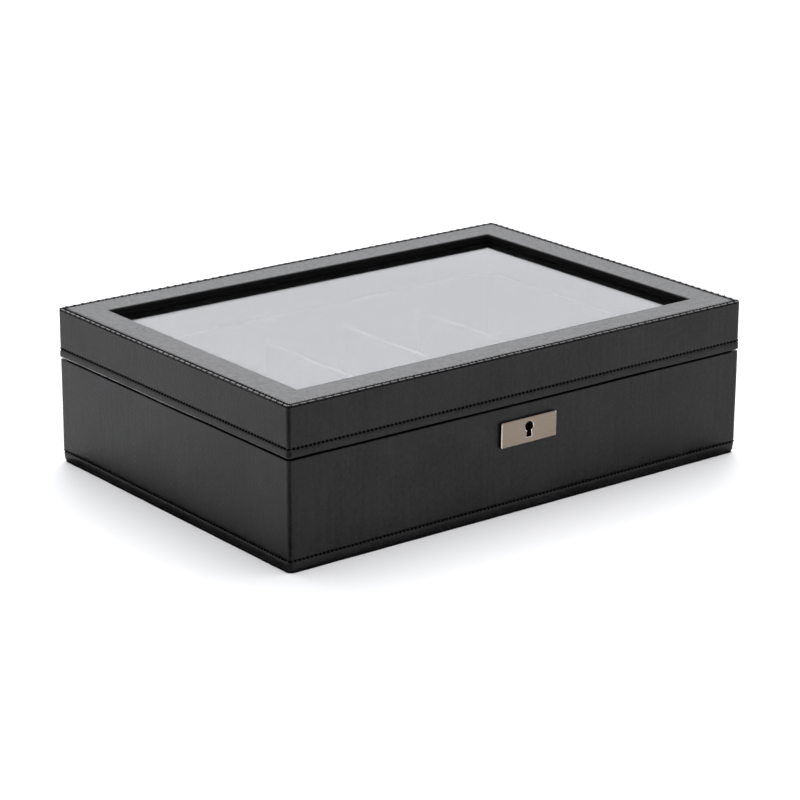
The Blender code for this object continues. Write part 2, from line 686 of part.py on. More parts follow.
def make_lock_works(materials, bolt_rest):
    """The key's post, the sliding bolt and the leaf spring that steadies it."""
    post_start, post_end = LOCK_Y + CASE_HALF_Y - CASE_WALL - FIT_GAP, LOCK_Y - CASE_HALF_Y + 1.5 * MM

    def post(bm):
        add_prism(bm, circle((0, KEYHOLE_Z), KEY_POST_RADIUS, 16), "Y", post_end, post_start)

    def bolt(bm):
        outline = [
            (BOLT_LEFT, BOLT_BAR_Z[0]),
            (-TALON_HALF_X, BOLT_BAR_Z[0]),
            (-TALON_HALF_X, BOLT_BAR_Z[0] + TALON_DEPTH),
            (TALON_HALF_X, BOLT_BAR_Z[0] + TALON_DEPTH),
            (TALON_HALF_X, BOLT_BAR_Z[0]),
            (BOLT_RIGHT, BOLT_BAR_Z[0]),
            (BOLT_RIGHT, BOLT_BAR_Z[1]),
            (BOLT_LEFT + BOLT_POST_WIDTH, BOLT_BAR_Z[1]),
            (BOLT_LEFT + BOLT_POST_WIDTH, BOLT_TIP_Z[0]),
            (BOLT_TIP_X, BOLT_TIP_Z[0]),
            (BOLT_TIP_X, BOLT_TIP_Z[1]),
            (BOLT_LEFT, BOLT_TIP_Z[1]),
        ]
        add_prism(bm, outline, "Y", LOCK_Y - BOLT_HALF_THICK, LOCK_Y + BOLT_HALF_THICK)

    def spring(bm):
        right, left = CASE_HALF_X - CASE_WALL - FIT_GAP, 4 * MM
        high, low = 66.5 * MM, BOLT_BAR_Z[1] + FIT_GAP
        steps = 8
        under = []
        for i in range(steps + 1):
            share = i / steps
            under.append((right + (left - right) * share, low + (high - low) * (1 - share) ** 2))
        over = [(x, z + SPRING_THICK) for x, z in reversed(under)]
        add_prism(bm, under + over, "Y", LOCK_Y - BOLT_HALF_THICK, LOCK_Y + BOLT_HALF_THICK)

    add_solid("lock_key_post", post, materials["hinge_steel"])
    add_solid("lock_bolt", bolt, materials["brass"], bolt_rest)
    add_solid("lock_spring", spring, materials["hinge_steel"])


def make_strike(steel, lid_axis):
    """The plate in the lid's rim, with a staple that drops into the case round the bolt's way."""
    top = LID_BOTTOM + SELVEDGE_THICK
    window_half_y = STAPLE_HALF_Y - STAPLE_LEG
    window_z = (STAPLE_BOTTOM + STAPLE_LEG, LID_BOTTOM - 1.5 * MM)

    def plate(bm):
        low = (-STRIKE_HALF_X, LOCK_Y - STRIKE_HALF_Y, LID_BOTTOM)
        add_box(bm, low, (STRIKE_HALF_X, LOCK_Y + STRIKE_HALF_Y, top))

    def staple(bm):
        low = (-STAPLE_HALF_X, LOCK_Y - STAPLE_HALF_Y, STAPLE_BOTTOM)
        add_box(bm, low, (STAPLE_HALF_X, LOCK_Y + STAPLE_HALF_Y, LID_BOTTOM + 0.5 * MM))

    def window(bm):
        low = (-5 * MM, LOCK_Y - window_half_y, window_z[0])
        add_box(bm, low, (5 * MM, LOCK_Y + window_half_y, window_z[1]))

    def countersinks(bm):
        add_screw_holes(bm, strike_screw_places(), up=True)

    strike = add_solid("strike_plate", plate, steel, lid_axis)
    boolean(strike, "UNION", helper("staple", staple))
    boolean(strike, "DIFFERENCE", helper("staple_window", window), helper("strike_countersinks", countersinks))


def make_lock(materials, lid_axis, bolt_rest, screw_mesh):
    make_lock_plate(materials["brushed_nickel"])
    make_lock_case(materials["brushed_nickel"])
    make_lock_works(materials, bolt_rest)
    make_strike(materials["brushed_nickel"], lid_axis)
    steel = materials["hinge_steel"]
    for side, place in zip(("left", "right"), case_screw_places()):
        add_object(f"lock_case_screw_{side}", screw_mesh, steel, None, place, screw_rotation(up=False))
    for side, place in zip(("left", "right"), strike_screw_places()):
        add_object(f"strike_screw_{side}", screw_mesh, steel, lid_axis, place, screw_rotation(up=True))


# Cutters that more than one piece shares.


def make_cutters():
    base_levels, lid_levels = leaf_levels()
    hinge_half = HINGE_LENGTH / 2 + 0.4 * MM
    swing = BARREL_RADIUS + 0.6 * MM
    outside_y = DEPTH / 2 + 10 * MM
    front_y = -DEPTH / 2 - 10 * MM

    def hinge_notches(bm):
        for x in (-HINGE_CENTRE_X, HINGE_CENTRE_X):
            low = (x - hinge_half, HINGE_AXIS_Y - swing, HINGE_AXIS_Z - swing)
            add_box(bm, low, (x + hinge_half, outside_y, HINGE_AXIS_Z + swing))

    def leaf_recesses(low_z, high_z):
        def fill(bm):
            for x in (-HINGE_CENTRE_X, HINGE_CENTRE_X):
                low = (x - hinge_half, LEAF_INNER_Y - FIT_GAP, low_z)
                add_box(bm, low, (x + hinge_half, HINGE_AXIS_Y - MM, high_z))

        return fill

    def pocket(bm):
        half_x, half_y = CASE_HALF_X + FIT_GAP, CASE_HALF_Y + FIT_GAP
        low = (-half_x, LOCK_Y - half_y, CASE_BOTTOM - FIT_GAP)
        add_box(bm, low, (half_x, LOCK_Y + half_y, RIM_Z + MM))

    def plate_recess(half_x, half_y, low_z, high_z):
        half_x, half_y = half_x + FIT_GAP, half_y + FIT_GAP

        def fill(bm):
            add_box(bm, (-half_x, LOCK_Y - half_y, low_z), (half_x, LOCK_Y + half_y, high_z))

        return fill

    def keyway(bm):
        half_x, low_z, high_z = 3.6 * MM, KEYHOLE_FOOT_Z - 0.6 * MM, KEYHOLE_Z + 3.6 * MM
        add_box(bm, (-half_x, front_y, low_z), (half_x, LOCK_Y - CASE_HALF_Y + 2 * MM, high_z))

    def prong_holes(bm):
        for x in (-PRONG_X, PRONG_X):
            outline = circle((x, PLATE_Z), PRONG_RADIUS + FIT_GAP, 12)
            add_prism(bm, outline, "Y", front_y, LOCK_Y - CASE_HALF_Y + MM)

    below, above = RIM_Z - 1.3 * MM, LID_BOTTOM + 1.3 * MM
    return {
        "hinge_notches": helper("hinge_notches", hinge_notches),
        "base_leaf_recesses": helper("base_leaf_recesses", leaf_recesses(below, RIM_Z + MM)),
        "lid_leaf_recesses": helper("lid_leaf_recesses", leaf_recesses(LID_BOTTOM - MM, above)),
        "selvedge_recess": helper(
            "selvedge_recess", plate_recess(SELVEDGE_HALF_X, SELVEDGE_HALF_Y, below, RIM_Z + MM)
        ),
        "strike_recess": helper(
            "strike_recess", plate_recess(STRIKE_HALF_X, STRIKE_HALF_Y, LID_BOTTOM - MM, above)
        ),
        "case_pocket": helper("case_pocket", pocket),
        "keyway": helper("keyway", keyway),
        "prong_holes": helper("prong_holes", prong_holes),
        "case_screw_holes": helper(
            "case_screw_holes", lambda bm: add_screw_holes(bm, case_screw_places(), up=False)
        ),
        "strike_screw_holes": helper(
            "strike_screw_holes", lambda bm: add_screw_holes(bm, strike_screw_places(), up=True)
        ),
        "base_hinge_screw_holes": helper(
            "base_hinge_screw_holes",
            lambda bm: add_screw_holes(bm, hinge_screw_places(base_levels[1]), up=False),
        ),
        "lid_hinge_screw_holes": helper(
            "lid_hinge_screw_holes",
            lambda bm: add_screw_holes(bm, hinge_screw_places(lid_levels[0]), up=True),
        ),
    }


def add_empty(name, location):
    empty = bpy.data.objects.new(name, None)
    empty.location = location
    bpy.context.scene.collection.objects.link(empty)
    return empty


def main():
    clear_scene()
    materials = {
        "black_leather": make_material("black_leather", (0.032, 0.032, 0.034), 0.5),
        "mdf": make_material("mdf", (0.42, 0.29, 0.18), 0.8),
        "suede_lining": make_material("suede_lining", (0.03, 0.03, 0.033), 0.95),
        "felt": make_material("felt", (0.015, 0.015, 0.016), 1.0),
        "glass": make_material("glass", (1.0, 1.0, 1.0), 0.02, transmission=1.0),
        "brushed_nickel": make_material("brushed_nickel", (0.48, 0.42, 0.37), 0.35, 1.0),
        "hinge_steel": make_material("hinge_steel", (0.45, 0.43, 0.41), 0.3, 1.0),
        "brass": make_material("brass", (0.68, 0.5, 0.22), 0.35, 1.0),
    }
    lid_axis = add_empty("lid_axis", (0, HINGE_AXIS_Y, HINGE_AXIS_Z))
    bolt_rest = add_empty("bolt_rest", (0, LOCK_Y, BOLT_BAR_Z[0]))
    screw_mesh = make_screw_mesh()
    cutters = make_cutters()
    make_base(materials, cutters)
    make_compartments(materials)
    make_lid(materials, cutters, lid_axis)
    make_hinges(materials, lid_axis, screw_mesh)
    make_lock(materials, lid_axis, bolt_rest, screw_mesh)


main()
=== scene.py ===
import math
from collections import namedtuple

import bmesh
import bpy
import numpy as np
from mathutils import Matrix, Vector
from mathutils.geometry import tessellate_polygon


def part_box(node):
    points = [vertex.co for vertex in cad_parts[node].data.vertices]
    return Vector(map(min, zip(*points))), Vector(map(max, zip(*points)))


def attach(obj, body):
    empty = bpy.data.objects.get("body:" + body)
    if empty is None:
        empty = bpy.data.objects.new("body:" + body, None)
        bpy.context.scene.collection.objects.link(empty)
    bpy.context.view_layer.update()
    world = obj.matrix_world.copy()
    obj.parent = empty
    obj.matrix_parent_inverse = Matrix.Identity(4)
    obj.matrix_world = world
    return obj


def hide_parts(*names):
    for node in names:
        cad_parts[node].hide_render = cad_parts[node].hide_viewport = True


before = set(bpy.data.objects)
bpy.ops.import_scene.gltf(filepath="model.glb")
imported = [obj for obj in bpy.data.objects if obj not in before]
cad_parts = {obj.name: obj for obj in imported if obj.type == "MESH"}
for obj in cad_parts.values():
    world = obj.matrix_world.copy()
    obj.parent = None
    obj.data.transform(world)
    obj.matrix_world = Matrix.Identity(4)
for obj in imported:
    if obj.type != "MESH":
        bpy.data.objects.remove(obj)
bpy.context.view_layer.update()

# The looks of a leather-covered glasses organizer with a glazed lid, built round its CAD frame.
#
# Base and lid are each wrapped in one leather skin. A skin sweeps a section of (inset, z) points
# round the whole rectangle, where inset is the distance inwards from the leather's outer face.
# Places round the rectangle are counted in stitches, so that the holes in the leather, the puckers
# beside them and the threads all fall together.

MM = 0.001

# Driving sizes, mostly read from the frame.
BASE_LOW, BASE_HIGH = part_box("base_leather_wrap")
LID_LOW, LID_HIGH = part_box("lid_leather_cover")
HALF = np.array([LID_HIGH.x, -LID_LOW.y])
RIM_Z, LID_BOTTOM, LID_TOP = BASE_HIGH.z, LID_LOW.z, LID_HIGH.z
WRAP_BOTTOM = BASE_LOW.z
SEAM_Z = (RIM_Z + LID_BOTTOM) / 2
GLASS_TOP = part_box("lid_glass")[1].z
GASKET_THICK = 1.1 * MM
PANE_TOP = GLASS_TOP - GASKET_THICK

# Leather.
SKIN = 1.2 * MM
TURN_IN = 15.3 * MM
UNDER_TURN_IN = 14 * MM
FRAME_WIDTH = 24 * MM
LIP_UNDERSIDE = GLASS_TOP + 0.3 * MM
CORNER_RADIUS = 2.5 * MM
FOOT_CORNER_RADIUS = 4.1 * MM
FOOT_HEIGHT = 9 * MM
INNER_CORNER = 0.7 * MM
HIDDEN_CORNER = 0.3 * MM
ROW_STEP = 4.5 * MM
RIM_DROP = 0.9 * MM
LIP_RISE = 0.35 * MM
GAP_DEPTH = 3.2 * MM
LIP_FLARE = 0.45 * MM
NOTCH = (0.5 * MM, LID_TOP - 1.05 * MM)
NOTCH_HALF = 0.3 * MM

# Stitching: how many stitches a side has, and where the lines run on the sections.
Line = namedtuple("Line", "inset level depth width pucker thread")
SIDE_STITCHES = (119, 83, 119, 83)
ROUND_STITCHES = sum(SIDE_STITCHES) + 4
COLUMNS_PER_STITCH = 4
COLUMNS_PER_CORNER = 6
LID_LOWER_LINE = Line(0, LID_BOTTOM + 5.8 * MM, 0.6 * MM, 0.8 * MM, 0.07 * MM, 0.6 * MM)
LID_TOP_LINE = Line(2.6 * MM, LID_TOP, 0.85 * MM, 0.95 * MM, 0.2 * MM, 0.5 * MM)
# How far the groove of the top stitches reaches either side of its line: it gets black paint as painted
# shade.
GROOVE_SIDES = (-1.0 * MM, 0.75 * MM)
BASE_LOWER_LINE = Line(0, WRAP_BOTTOM + 6.2 * MM, 0.6 * MM, 0.8 * MM, 0.07 * MM, 0.6 * MM)
HOLE_SHARE = 0.15
BRIDGE = 0.9
STITCH_GAP = 0.19
WRAP_SLANT = 0.3
WRAP_THREAD = 0.27 * MM
PUCKER_REACH = 1.3 * MM
THREAD_SLANT = 0.4 * MM
THREAD_SIDES = 8
THREAD_RINGS = 9

RIPPLE_WAVES = 7
SHARP_DEG = 50
CORNER_SIGNS = np.array([(-1, -1), (1, -1), (1, 1), (-1, 1)], float)


# Node trees.


def make_material(name, colour, roughness, specular=0.5, sockets=None):
    """A Principled material and its node tree. sockets holds other constant values by socket."""
    material = bpy.data.materials.new(name)
    material.use_nodes = True
    shader = material.node_tree.nodes["Principled BSDF"]
    shader.inputs["Base Color"].default_value = (*colour, 1)
    shader.inputs["Roughness"].default_value = roughness
    shader.inputs["Specular IOR Level"].default_value = specular
    for socket, value in (sockets or {}).items():
        shader.inputs[socket].default_value = value
    return material, material.node_tree


def add_node(tree, kind, inputs=None, **settings):
    """Adds a node. An input is a value, or another node's output socket to link from."""
    node = tree.nodes.new(kind)
    for name, value in settings.items():
        setattr(node, name, value)
    for socket, value in (inputs or {}).items():
        if isinstance(value, bpy.types.NodeSocket):
            tree.links.new(value, node.inputs[socket])
        else:
            node.inputs[socket].default_value = value
    return node


def place(tree, stretch=(1, 1, 1)):
    """The piece's own coordinates in metres, stretched along X, Y and Z."""
    inputs = {"Vector": add_node(tree, "ShaderNodeTexCoord").outputs["Object"], "Scale": stretch}
    return add_node(tree, "ShaderNodeMapping", inputs).outputs["Vector"]


def noise(tree, vector, per_metre, detail=2.0, roughness=0.5):
    inputs = {"Vector": vector, "Scale": per_metre, "Detail": detail, "Roughness": roughness}
    return add_node(tree, "ShaderNodeTexNoise", inputs).outputs["Fac"]


def cells(tree, vector, per_metre, feature="F1"):
    inputs = {"Vector": vector, "Scale": per_metre}
    return add_node(tree, "ShaderNodeTexVoronoi", inputs, feature=feature).outputs["Distance"]


def fit(tree, value, low, high, from_low=0.0, from_high=1.0):
    """Maps a value from one range to another."""
    inputs = {"Value": value, "From Min": from_low, "From Max": from_high, "To Min": low, "To Max": high}
    return add_node(tree, "ShaderNodeMapRange", inputs).outputs["Result"]


def combine(tree, operation, first, second):
    node = add_node(tree, "ShaderNodeMath", {0: first, 1: second}, operation=operation)
    return node.outputs["Value"]


def mix_colours(tree, factor, under, colour):
    """Blends a plain colour over another one, or over a colour output."""
    if not isinstance(under, bpy.types.NodeSocket):
        under = (*under, 1)
    inputs = {"Factor": factor, "A": under, "B": (*colour, 1)}
    return add_node(tree, "ShaderNodeMix", inputs, data_type="RGBA").outputs["Result"]


def bump(tree, height, distance, strength, under=None):
    inputs = {"Height": height, "Distance": distance, "Strength": strength}
    if under is not None:
        inputs["Normal"] = under
    return add_node(tree, "ShaderNodeBump", inputs).outputs["Normal"]


def link_shader(material, **outputs):
    """Links outputs to the shader's sockets, colour, roughness and normal, and returns the material."""
    tree = material.node_tree
    shader = tree.nodes["Principled BSDF"]
    sockets = {"colour": "Base Color", "roughness": "Roughness", "normal": "Normal"}
    for name, output in outputs.items():
        tree.links.new(output, shader.inputs[sockets[name]])
    return material


def multiply(tree, product, *others):
    for other in others:
        product = combine(tree, "MULTIPLY", product, other)
    return product


def blend_values(tree, *shares):
    """The weighted sum of values, given as (weight, value)."""
    total = None
    for weight, value in shares:
        part = multiply(tree, value, weight)
        total = part if total is None else combine(tree, "ADD", total, part)
    return total


def edge_wear(tree):
    """From 0 to 1 where the surface bends outwards, as along an edge."""
    pointiness = add_node(tree, "ShaderNodeNewGeometry").outputs["Pointiness"]
    return fit(tree, pointiness, 0, 1, 0.505, 0.6)


# Materials.


def make_leather():
    """Smooth black leather: fine pebbles, finer pores, faint streaks, and edges rubbed a little; painted
    highlights along the lid's lower left edge and on its top bead.
    """
    material, tree = make_material("black_leather", (0.009, 0.009, 0.0095), 0.36, 0.19)
    here = place(tree)
    pebbles = cells(tree, here, 950, "SMOOTH_F1")
    pores = noise(tree, here, 2400, 3.0, 0.6)
    creases = noise(tree, here, 380, 4.0, 0.65)
    streaks = noise(tree, place(tree, (1, 1, 0.06)), 330, 3.0)
    patches = noise(tree, here, 30, 3.0)
    tone = blend_values(tree, (0.18, streaks), (0.2, patches), (0.3, creases), (0.32, pores))
    tone = fit(tree, tone, 0, 1, 0.39, 0.61)
    colour = mix_colours(tree, tone, (0.0012, 0.0012, 0.0014), (0.0165, 0.0165, 0.0173))
    colour = mix_colours(tree, multiply(tree, edge_wear(tree), 0.35), colour, (0.028, 0.027, 0.027))
    # Painted highlight: a pale line along the lid's lower edge on its left side.
    colour = mix_colours(tree, painted_lip_highlight(tree), colour, (0.3, 0.295, 0.29))
    # Painted highlight: the bead round the lid's top edge made paler.
    colour = mix_colours(tree, painted_bead_highlight(tree), colour, (0.06, 0.06, 0.0595))
    dullness = blend_values(tree, (0.42, streaks), (0.58, creases))
    roughness = fit(tree, dullness, 0.26, 0.46, 0.35, 0.65)
    grain = blend_values(tree, (1.0, pebbles), (0.6, pores), (0.3, streaks))
    fine = bump(tree, grain, 0.12 * MM, 0.65)
    normal = bump(tree, creases, 0.04 * MM, 0.3, fine)
    return link_shader(material, colour=colour, roughness=roughness, normal=normal)


def painted_lip_highlight(tree):
    """From 0 to 1 where the lid's lower edge is painted pale along its left side, a painted highlight."""
    axes = add_node(tree, "ShaderNodeSeparateXYZ", {"Vector": place(tree)}).outputs
    edge = LID_BOTTOM + LIP_RISE
    low = fit(tree, axes["Z"], 1, 0, edge + 0.35 * MM, edge + 0.75 * MM)
    below = combine(tree, "GREATER_THAN", axes["Z"], edge - 0.25 * MM)
    left = fit(tree, axes["X"], 1, 0, 1.2 * MM - HALF[0], 2.5 * MM - HALF[0])
    along = fit(tree, axes["Y"], 0.2, 1, -0.5 * HALF[1], 0.35 * HALF[1])
    patchy = fit(tree, noise(tree, place(tree), 55, 2.0), 0.4, 1, 0.4, 0.55)
    return multiply(tree, low, below, left, along, patchy)


def painted_bead_highlight(tree):
    """From 0 to 1 where the bead round the lid's top edge is painted paler, a painted highlight for the
    light its crest catches.
    """
    axes = add_node(tree, "ShaderNodeSeparateXYZ", {"Vector": place(tree)}).outputs
    beyond = []
    for axis, half in (("X", HALF[0]), ("Y", HALF[1])):
        size = combine(tree, "ABSOLUTE", axes[axis], 0.0)
        beyond.append(combine(tree, "SUBTRACT", size, float(half)))
    outermost = combine(tree, "MAXIMUM", *beyond)
    near = fit(tree, outermost, 0, 1, -1.35 * MM, -1.1 * MM)
    high = fit(tree, axes["Z"], 0, 1, LID_TOP - 0.4 * MM, LID_TOP - 0.15 * MM)
    patchy = fit(tree, noise(tree, place(tree), 130, 3.0), 0.45, 1, 0.38, 0.6)
    return multiply(tree, near, high, patchy)


def make_painted_shade():
    """Dull black paint that stands in for shade: painted shade on the leather's wall inside the window, in
    the notch under the bead, in the groove of the top stitches, on the lock plate's side walls and on the
    gasket.
    """
    material, tree = make_material("black_painted_shade", (0.002, 0.002, 0.002), 0.75, 0.1)
    strokes = noise(tree, place(tree, (0.2, 0.2, 1)), 900, 3.0)
    colour = mix_colours(tree, strokes, (0.001, 0.001, 0.001), (0.004, 0.004, 0.004))
    return link_shader(material, colour=colour, normal=bump(tree, strokes, 0.08 * MM, 0.4))


def make_thread():
    material, tree = make_material("black_thread", (0.001, 0.001, 0.001), 0.85, 0.05)
    fibres = noise(tree, place(tree), 5200, 2.0)
    colour = mix_colours(tree, fibres, (0.0004, 0.0004, 0.0004), (0.002, 0.002, 0.002))
    roughness = fit(tree, fibres, 0.75, 0.95)
    normal = bump(tree, fibres, 0.05 * MM, 0.4)
    return link_shader(material, colour=colour, roughness=roughness, normal=normal)


def make_suede(name, dark, light):
    """Short-napped lining: the nap lies in brushed patches and its tips catch the light. Upward faces high
    inside the box are painted paler, a painted highlight.
    """
    sheen = {"Sheen Weight": 0.15, "Sheen Roughness": 0.45}
    material, tree = make_material(name, dark, 0.95, 0.15, sheen)
    here = place(tree)
    nap = noise(tree, here, 2600, 4.0, 0.7)
    brushed = noise(tree, place(tree, (1, 0.4, 0.6)), 45, 3.0)
    tone = blend_values(tree, (0.35, nap), (0.65, brushed))
    colour = mix_colours(tree, fit(tree, tone, 0, 1, 0.3, 0.7), dark, light)
    # Painted highlight: upward faces high inside the box made paler.
    colour = mix_colours(tree, painted_top_highlight(tree), colour, (0.13, 0.13, 0.135))
    roughness = fit(tree, nap, 0.86, 1.0)
    normal = bump(tree, nap, 0.07 * MM, 0.4)
    return link_shader(material, colour=colour, roughness=roughness, normal=normal)


def painted_top_highlight(tree):
    """From 0 to 1 on upward faces high inside the box, painted paler where the light falls on them: a
    painted highlight.
    """
    coordinates = add_node(tree, "ShaderNodeTexCoord").outputs
    up = add_node(tree, "ShaderNodeSeparateXYZ", {"Vector": coordinates["Normal"]}).outputs["Z"]
    height = add_node(tree, "ShaderNodeSeparateXYZ", {"Vector": coordinates["Object"]}).outputs["Z"]
    high = combine(tree, "GREATER_THAN", height, 50 * MM)
    upwards = fit(tree, up, 0, 1, 0.5, 0.95)
    patchy = fit(tree, noise(tree, place(tree), 28, 3.0), 0.3, 1, 0.42, 0.6)
    return multiply(tree, high, upwards, patchy)


def make_felt():
    """Pressed black felt with loose fibres."""
    material, tree = make_material("felt", (0.006, 0.006, 0.006), 1.0, 0.05)
    fibres = noise(tree, place(tree, (1, 0.25, 1)), 2400, 4.0, 0.7)
    crossed = noise(tree, place(tree, (0.25, 1, 1)), 2100, 4.0, 0.7)
    lint = combine(tree, "MAXIMUM", fibres, crossed)
    clumps = noise(tree, place(tree), 150, 3.0)
    tone = fit(tree, blend_values(tree, (0.6, lint), (0.4, clumps)), 0, 1, 0.35, 0.7)
    colour = mix_colours(tree, tone, (0.002, 0.002, 0.002), (0.011, 0.011, 0.011))
    return link_shader(material, colour=colour, normal=bump(tree, lint, 0.25 * MM, 0.7))


def make_board(name, dark, light):
    """Fibreboard: pressed fibres with darker flecks."""
    material, tree = make_material(name, light, 0.85, 0.3)
    fibres = noise(tree, place(tree, (1, 1, 2.5)), 900, 5.0, 0.7)
    flecks = cells(tree, place(tree), 350)
    tone = blend_values(tree, (0.7, fibres), (0.3, flecks))
    colour = mix_colours(tree, fit(tree, tone, 0, 1, 0.3, 0.7), dark, light)
    return link_shader(material, colour=colour, normal=bump(tree, fibres, 0.1 * MM, 0.5))


def make_glass():
    """Clear float glass, with a tint that varies the least bit along the way it was drawn."""
    clear = {"Transmission Weight": 1.0, "IOR": 1.47}
    material, tree = make_material("glass", (0.96, 0.97, 0.965), 0.0, sockets=clear)
    drawn = noise(tree, place(tree, (1, 0.3, 1)), 12, 1.0)
    colour = mix_colours(tree, drawn, (0.95, 0.962, 0.956), (0.97, 0.978, 0.974))
    return link_shader(material, colour=colour)


def make_metal(name, dark, light, roughness, stretch):
    """Brushed metal: fine scratches along one axis, cloudier patches, and edges rubbed brighter."""
    material, tree = make_material(name, dark, roughness, sockets={"Metallic": 1.0})
    scratches = noise(tree, place(tree, stretch), 1500, 3.0, 0.6)
    clouds = noise(tree, place(tree), 90, 3.0)
    tone = blend_values(tree, (0.6, scratches), (0.4, clouds))
    colour = mix_colours(tree, fit(tree, tone, 0, 1, 0.3, 0.7), dark, light)
    rubbed = mix_colours(tree, multiply(tree, edge_wear(tree), 0.5), colour, light)
    finish = fit(tree, tone, roughness - 0.05, roughness + 0.07, 0.3, 0.7)
    normal = bump(tree, scratches, 0.012 * MM, 0.5)
    return link_shader(material, colour=rubbed, roughness=finish, normal=normal)


# Meshes.


def add_piece(name, verts, faces, material, sharp_deg=SHARP_DEG):
    """A mesh object, shaded smooth apart from its sharp edges."""
    mesh = bpy.data.meshes.new(name)
    mesh.from_pydata([tuple(v) for v in verts], [], [tuple(f) for f in faces])
    return add_object(name, mesh, material, sharp_deg)


def add_object(name, mesh, material, sharp_deg=SHARP_DEG):
    mesh.validate()
    mesh.shade_smooth()
    mesh.set_sharp_from_angle(angle=math.radians(sharp_deg))
    mesh.materials.append(material)
    return link_object(name, mesh)


def link_object(name, data):
    obj = bpy.data.objects.new(name, data)
    bpy.context.scene.collection.objects.link(obj)
    return obj


def quads(columns, rows, close_columns=True, close_rows=True):
    """Faces of a grid whose vertices are numbered column by column."""
    column = np.arange(columns if close_columns else columns - 1)[:, None]
    row = np.arange(rows if close_rows else rows - 1)[None, :]
    next_column, next_row = (column + 1) % columns, (row + 1) % rows
    corners = [column * rows + row, next_column * rows + row]
    corners += [next_column * rows + next_row, column * rows + next_row]
    return np.stack([np.broadcast_to(c, corners[0].shape) for c in corners], -1).reshape(-1, 4)


def ripple(points, wavelength, seed):
    """A smooth random height, mostly between -1 and 1, at each point."""
    random = np.random.RandomState(seed)
    height = np.zeros(len(points))
    for _ in range(RIPPLE_WAVES):
        direction = random.normal(size=3)
        direction /= np.linalg.norm(direction)
        number = 2 * math.pi / (wavelength * random.uniform(0.6, 1.7))
        height += np.sin(points @ direction * number + random.uniform(0, 2 * math.pi))
    return height / math.sqrt(RIPPLE_WAVES)


def smooth_step(value):
    value = np.clip(value, 0, 1)
    return value * value * (3 - 2 * value)


# The ring: places round the box, counted in stitches from the left end of the front.


def ring_frames(places):
    """The anchor, a corner's signs or between two corners', and the outward normal at each place."""
    places = np.asarray(places, float) % ROUND_STITCHES
    anchors = np.zeros((len(places), 2))
    angles = np.zeros(len(places))
    start = 0
    for side, count in enumerate(SIDE_STITCHES):
        low, high = CORNER_SIGNS[side], CORNER_SIGNS[(side + 1) % 4]
        facing = math.radians(90 * side - 90)
        along = places - start
        straight = (along >= 0) & (along < count)
        anchors[straight] = low + (high - low) * (along[straight] / count)[:, None]
        angles[straight] = facing
        corner = (along >= count) & (along < count + 1)
        anchors[corner] = high
        angles[corner] = facing + (along[corner] - count) * math.pi / 2
        start += count + 1
    return anchors, np.stack([np.cos(angles), np.sin(angles)], 1)


def ring_columns():
    """Places for the mesh's columns: even along the sides and closer round the corners."""
    places, start = [], 0
    for count in SIDE_STITCHES:
        places.append(start + np.arange(count * COLUMNS_PER_STITCH) / COLUMNS_PER_STITCH)
        start += count
        places.append(start + np.arange(COLUMNS_PER_CORNER) / COLUMNS_PER_CORNER)
        start += 1
    return np.concatenate(places)


def ring_points(anchors, normals, insets, levels, radii):
    """Points at an inset and a level, at each place of the ring."""
    insets, levels, radii = (np.broadcast_to(a, len(anchors)) for a in (insets, levels, radii))
    flat = anchors * (HALF - radii[:, None]) + (radii - insets)[:, None] * normals
    return np.column_stack([flat, levels])


# Sections: lists of (inset, z).


def arc(centre, radius, start_deg, end_deg, steps=6):
    angles = np.radians(np.linspace(start_deg, end_deg, steps + 1))
    return [(centre[0] + radius * math.cos(a), centre[1] + radius * math.sin(a)) for a in angles]


def steps_between(low, high, line=None):
    """Values from low to high: wide apart, close together at both ends and at a stitch line."""
    reach = 0.5 * MM
    values = list(np.linspace(low + reach, high - reach, max(2, round(abs(high - low) / ROW_STEP) + 1)))
    if line is not None:
        near = np.array([3.6, 2.7, 1.9, 1.3, 0.9, 0.6, 0.35, 0.15]) * MM
        values = [v for v in values if abs(v - line) > 4.4 * MM]
        values += [v for v in [line, *(line - near), *(line + near)] if low < v < high]
    return sorted(values)


def base_section():
    """The wrap's exposed points: under the edge, up the face and over the rim."""
    foot, rim = 0.8 * MM, 0.3 * MM
    points = [(UNDER_TURN_IN, WRAP_BOTTOM), (UNDER_TURN_IN / 2, WRAP_BOTTOM)]
    points += arc((foot, WRAP_BOTTOM + foot), foot, 270, 180)
    edge = RIM_Z - RIM_DROP
    points += [(0, z) for z in steps_between(WRAP_BOTTOM + foot, edge - rim, BASE_LOWER_LINE.level)]
    points += arc((rim, edge - rim), rim, 180, 90)
    points += [(0.6 * GAP_DEPTH, edge), (GAP_DEPTH, edge + 0.1 * MM), (GAP_DEPTH + 0.4 * MM, RIM_Z)]
    points += [(inset, RIM_Z) for inset in steps_between(GAP_DEPTH + 0.5 * MM, TURN_IN)]
    return points + [(TURN_IN, RIM_Z)]


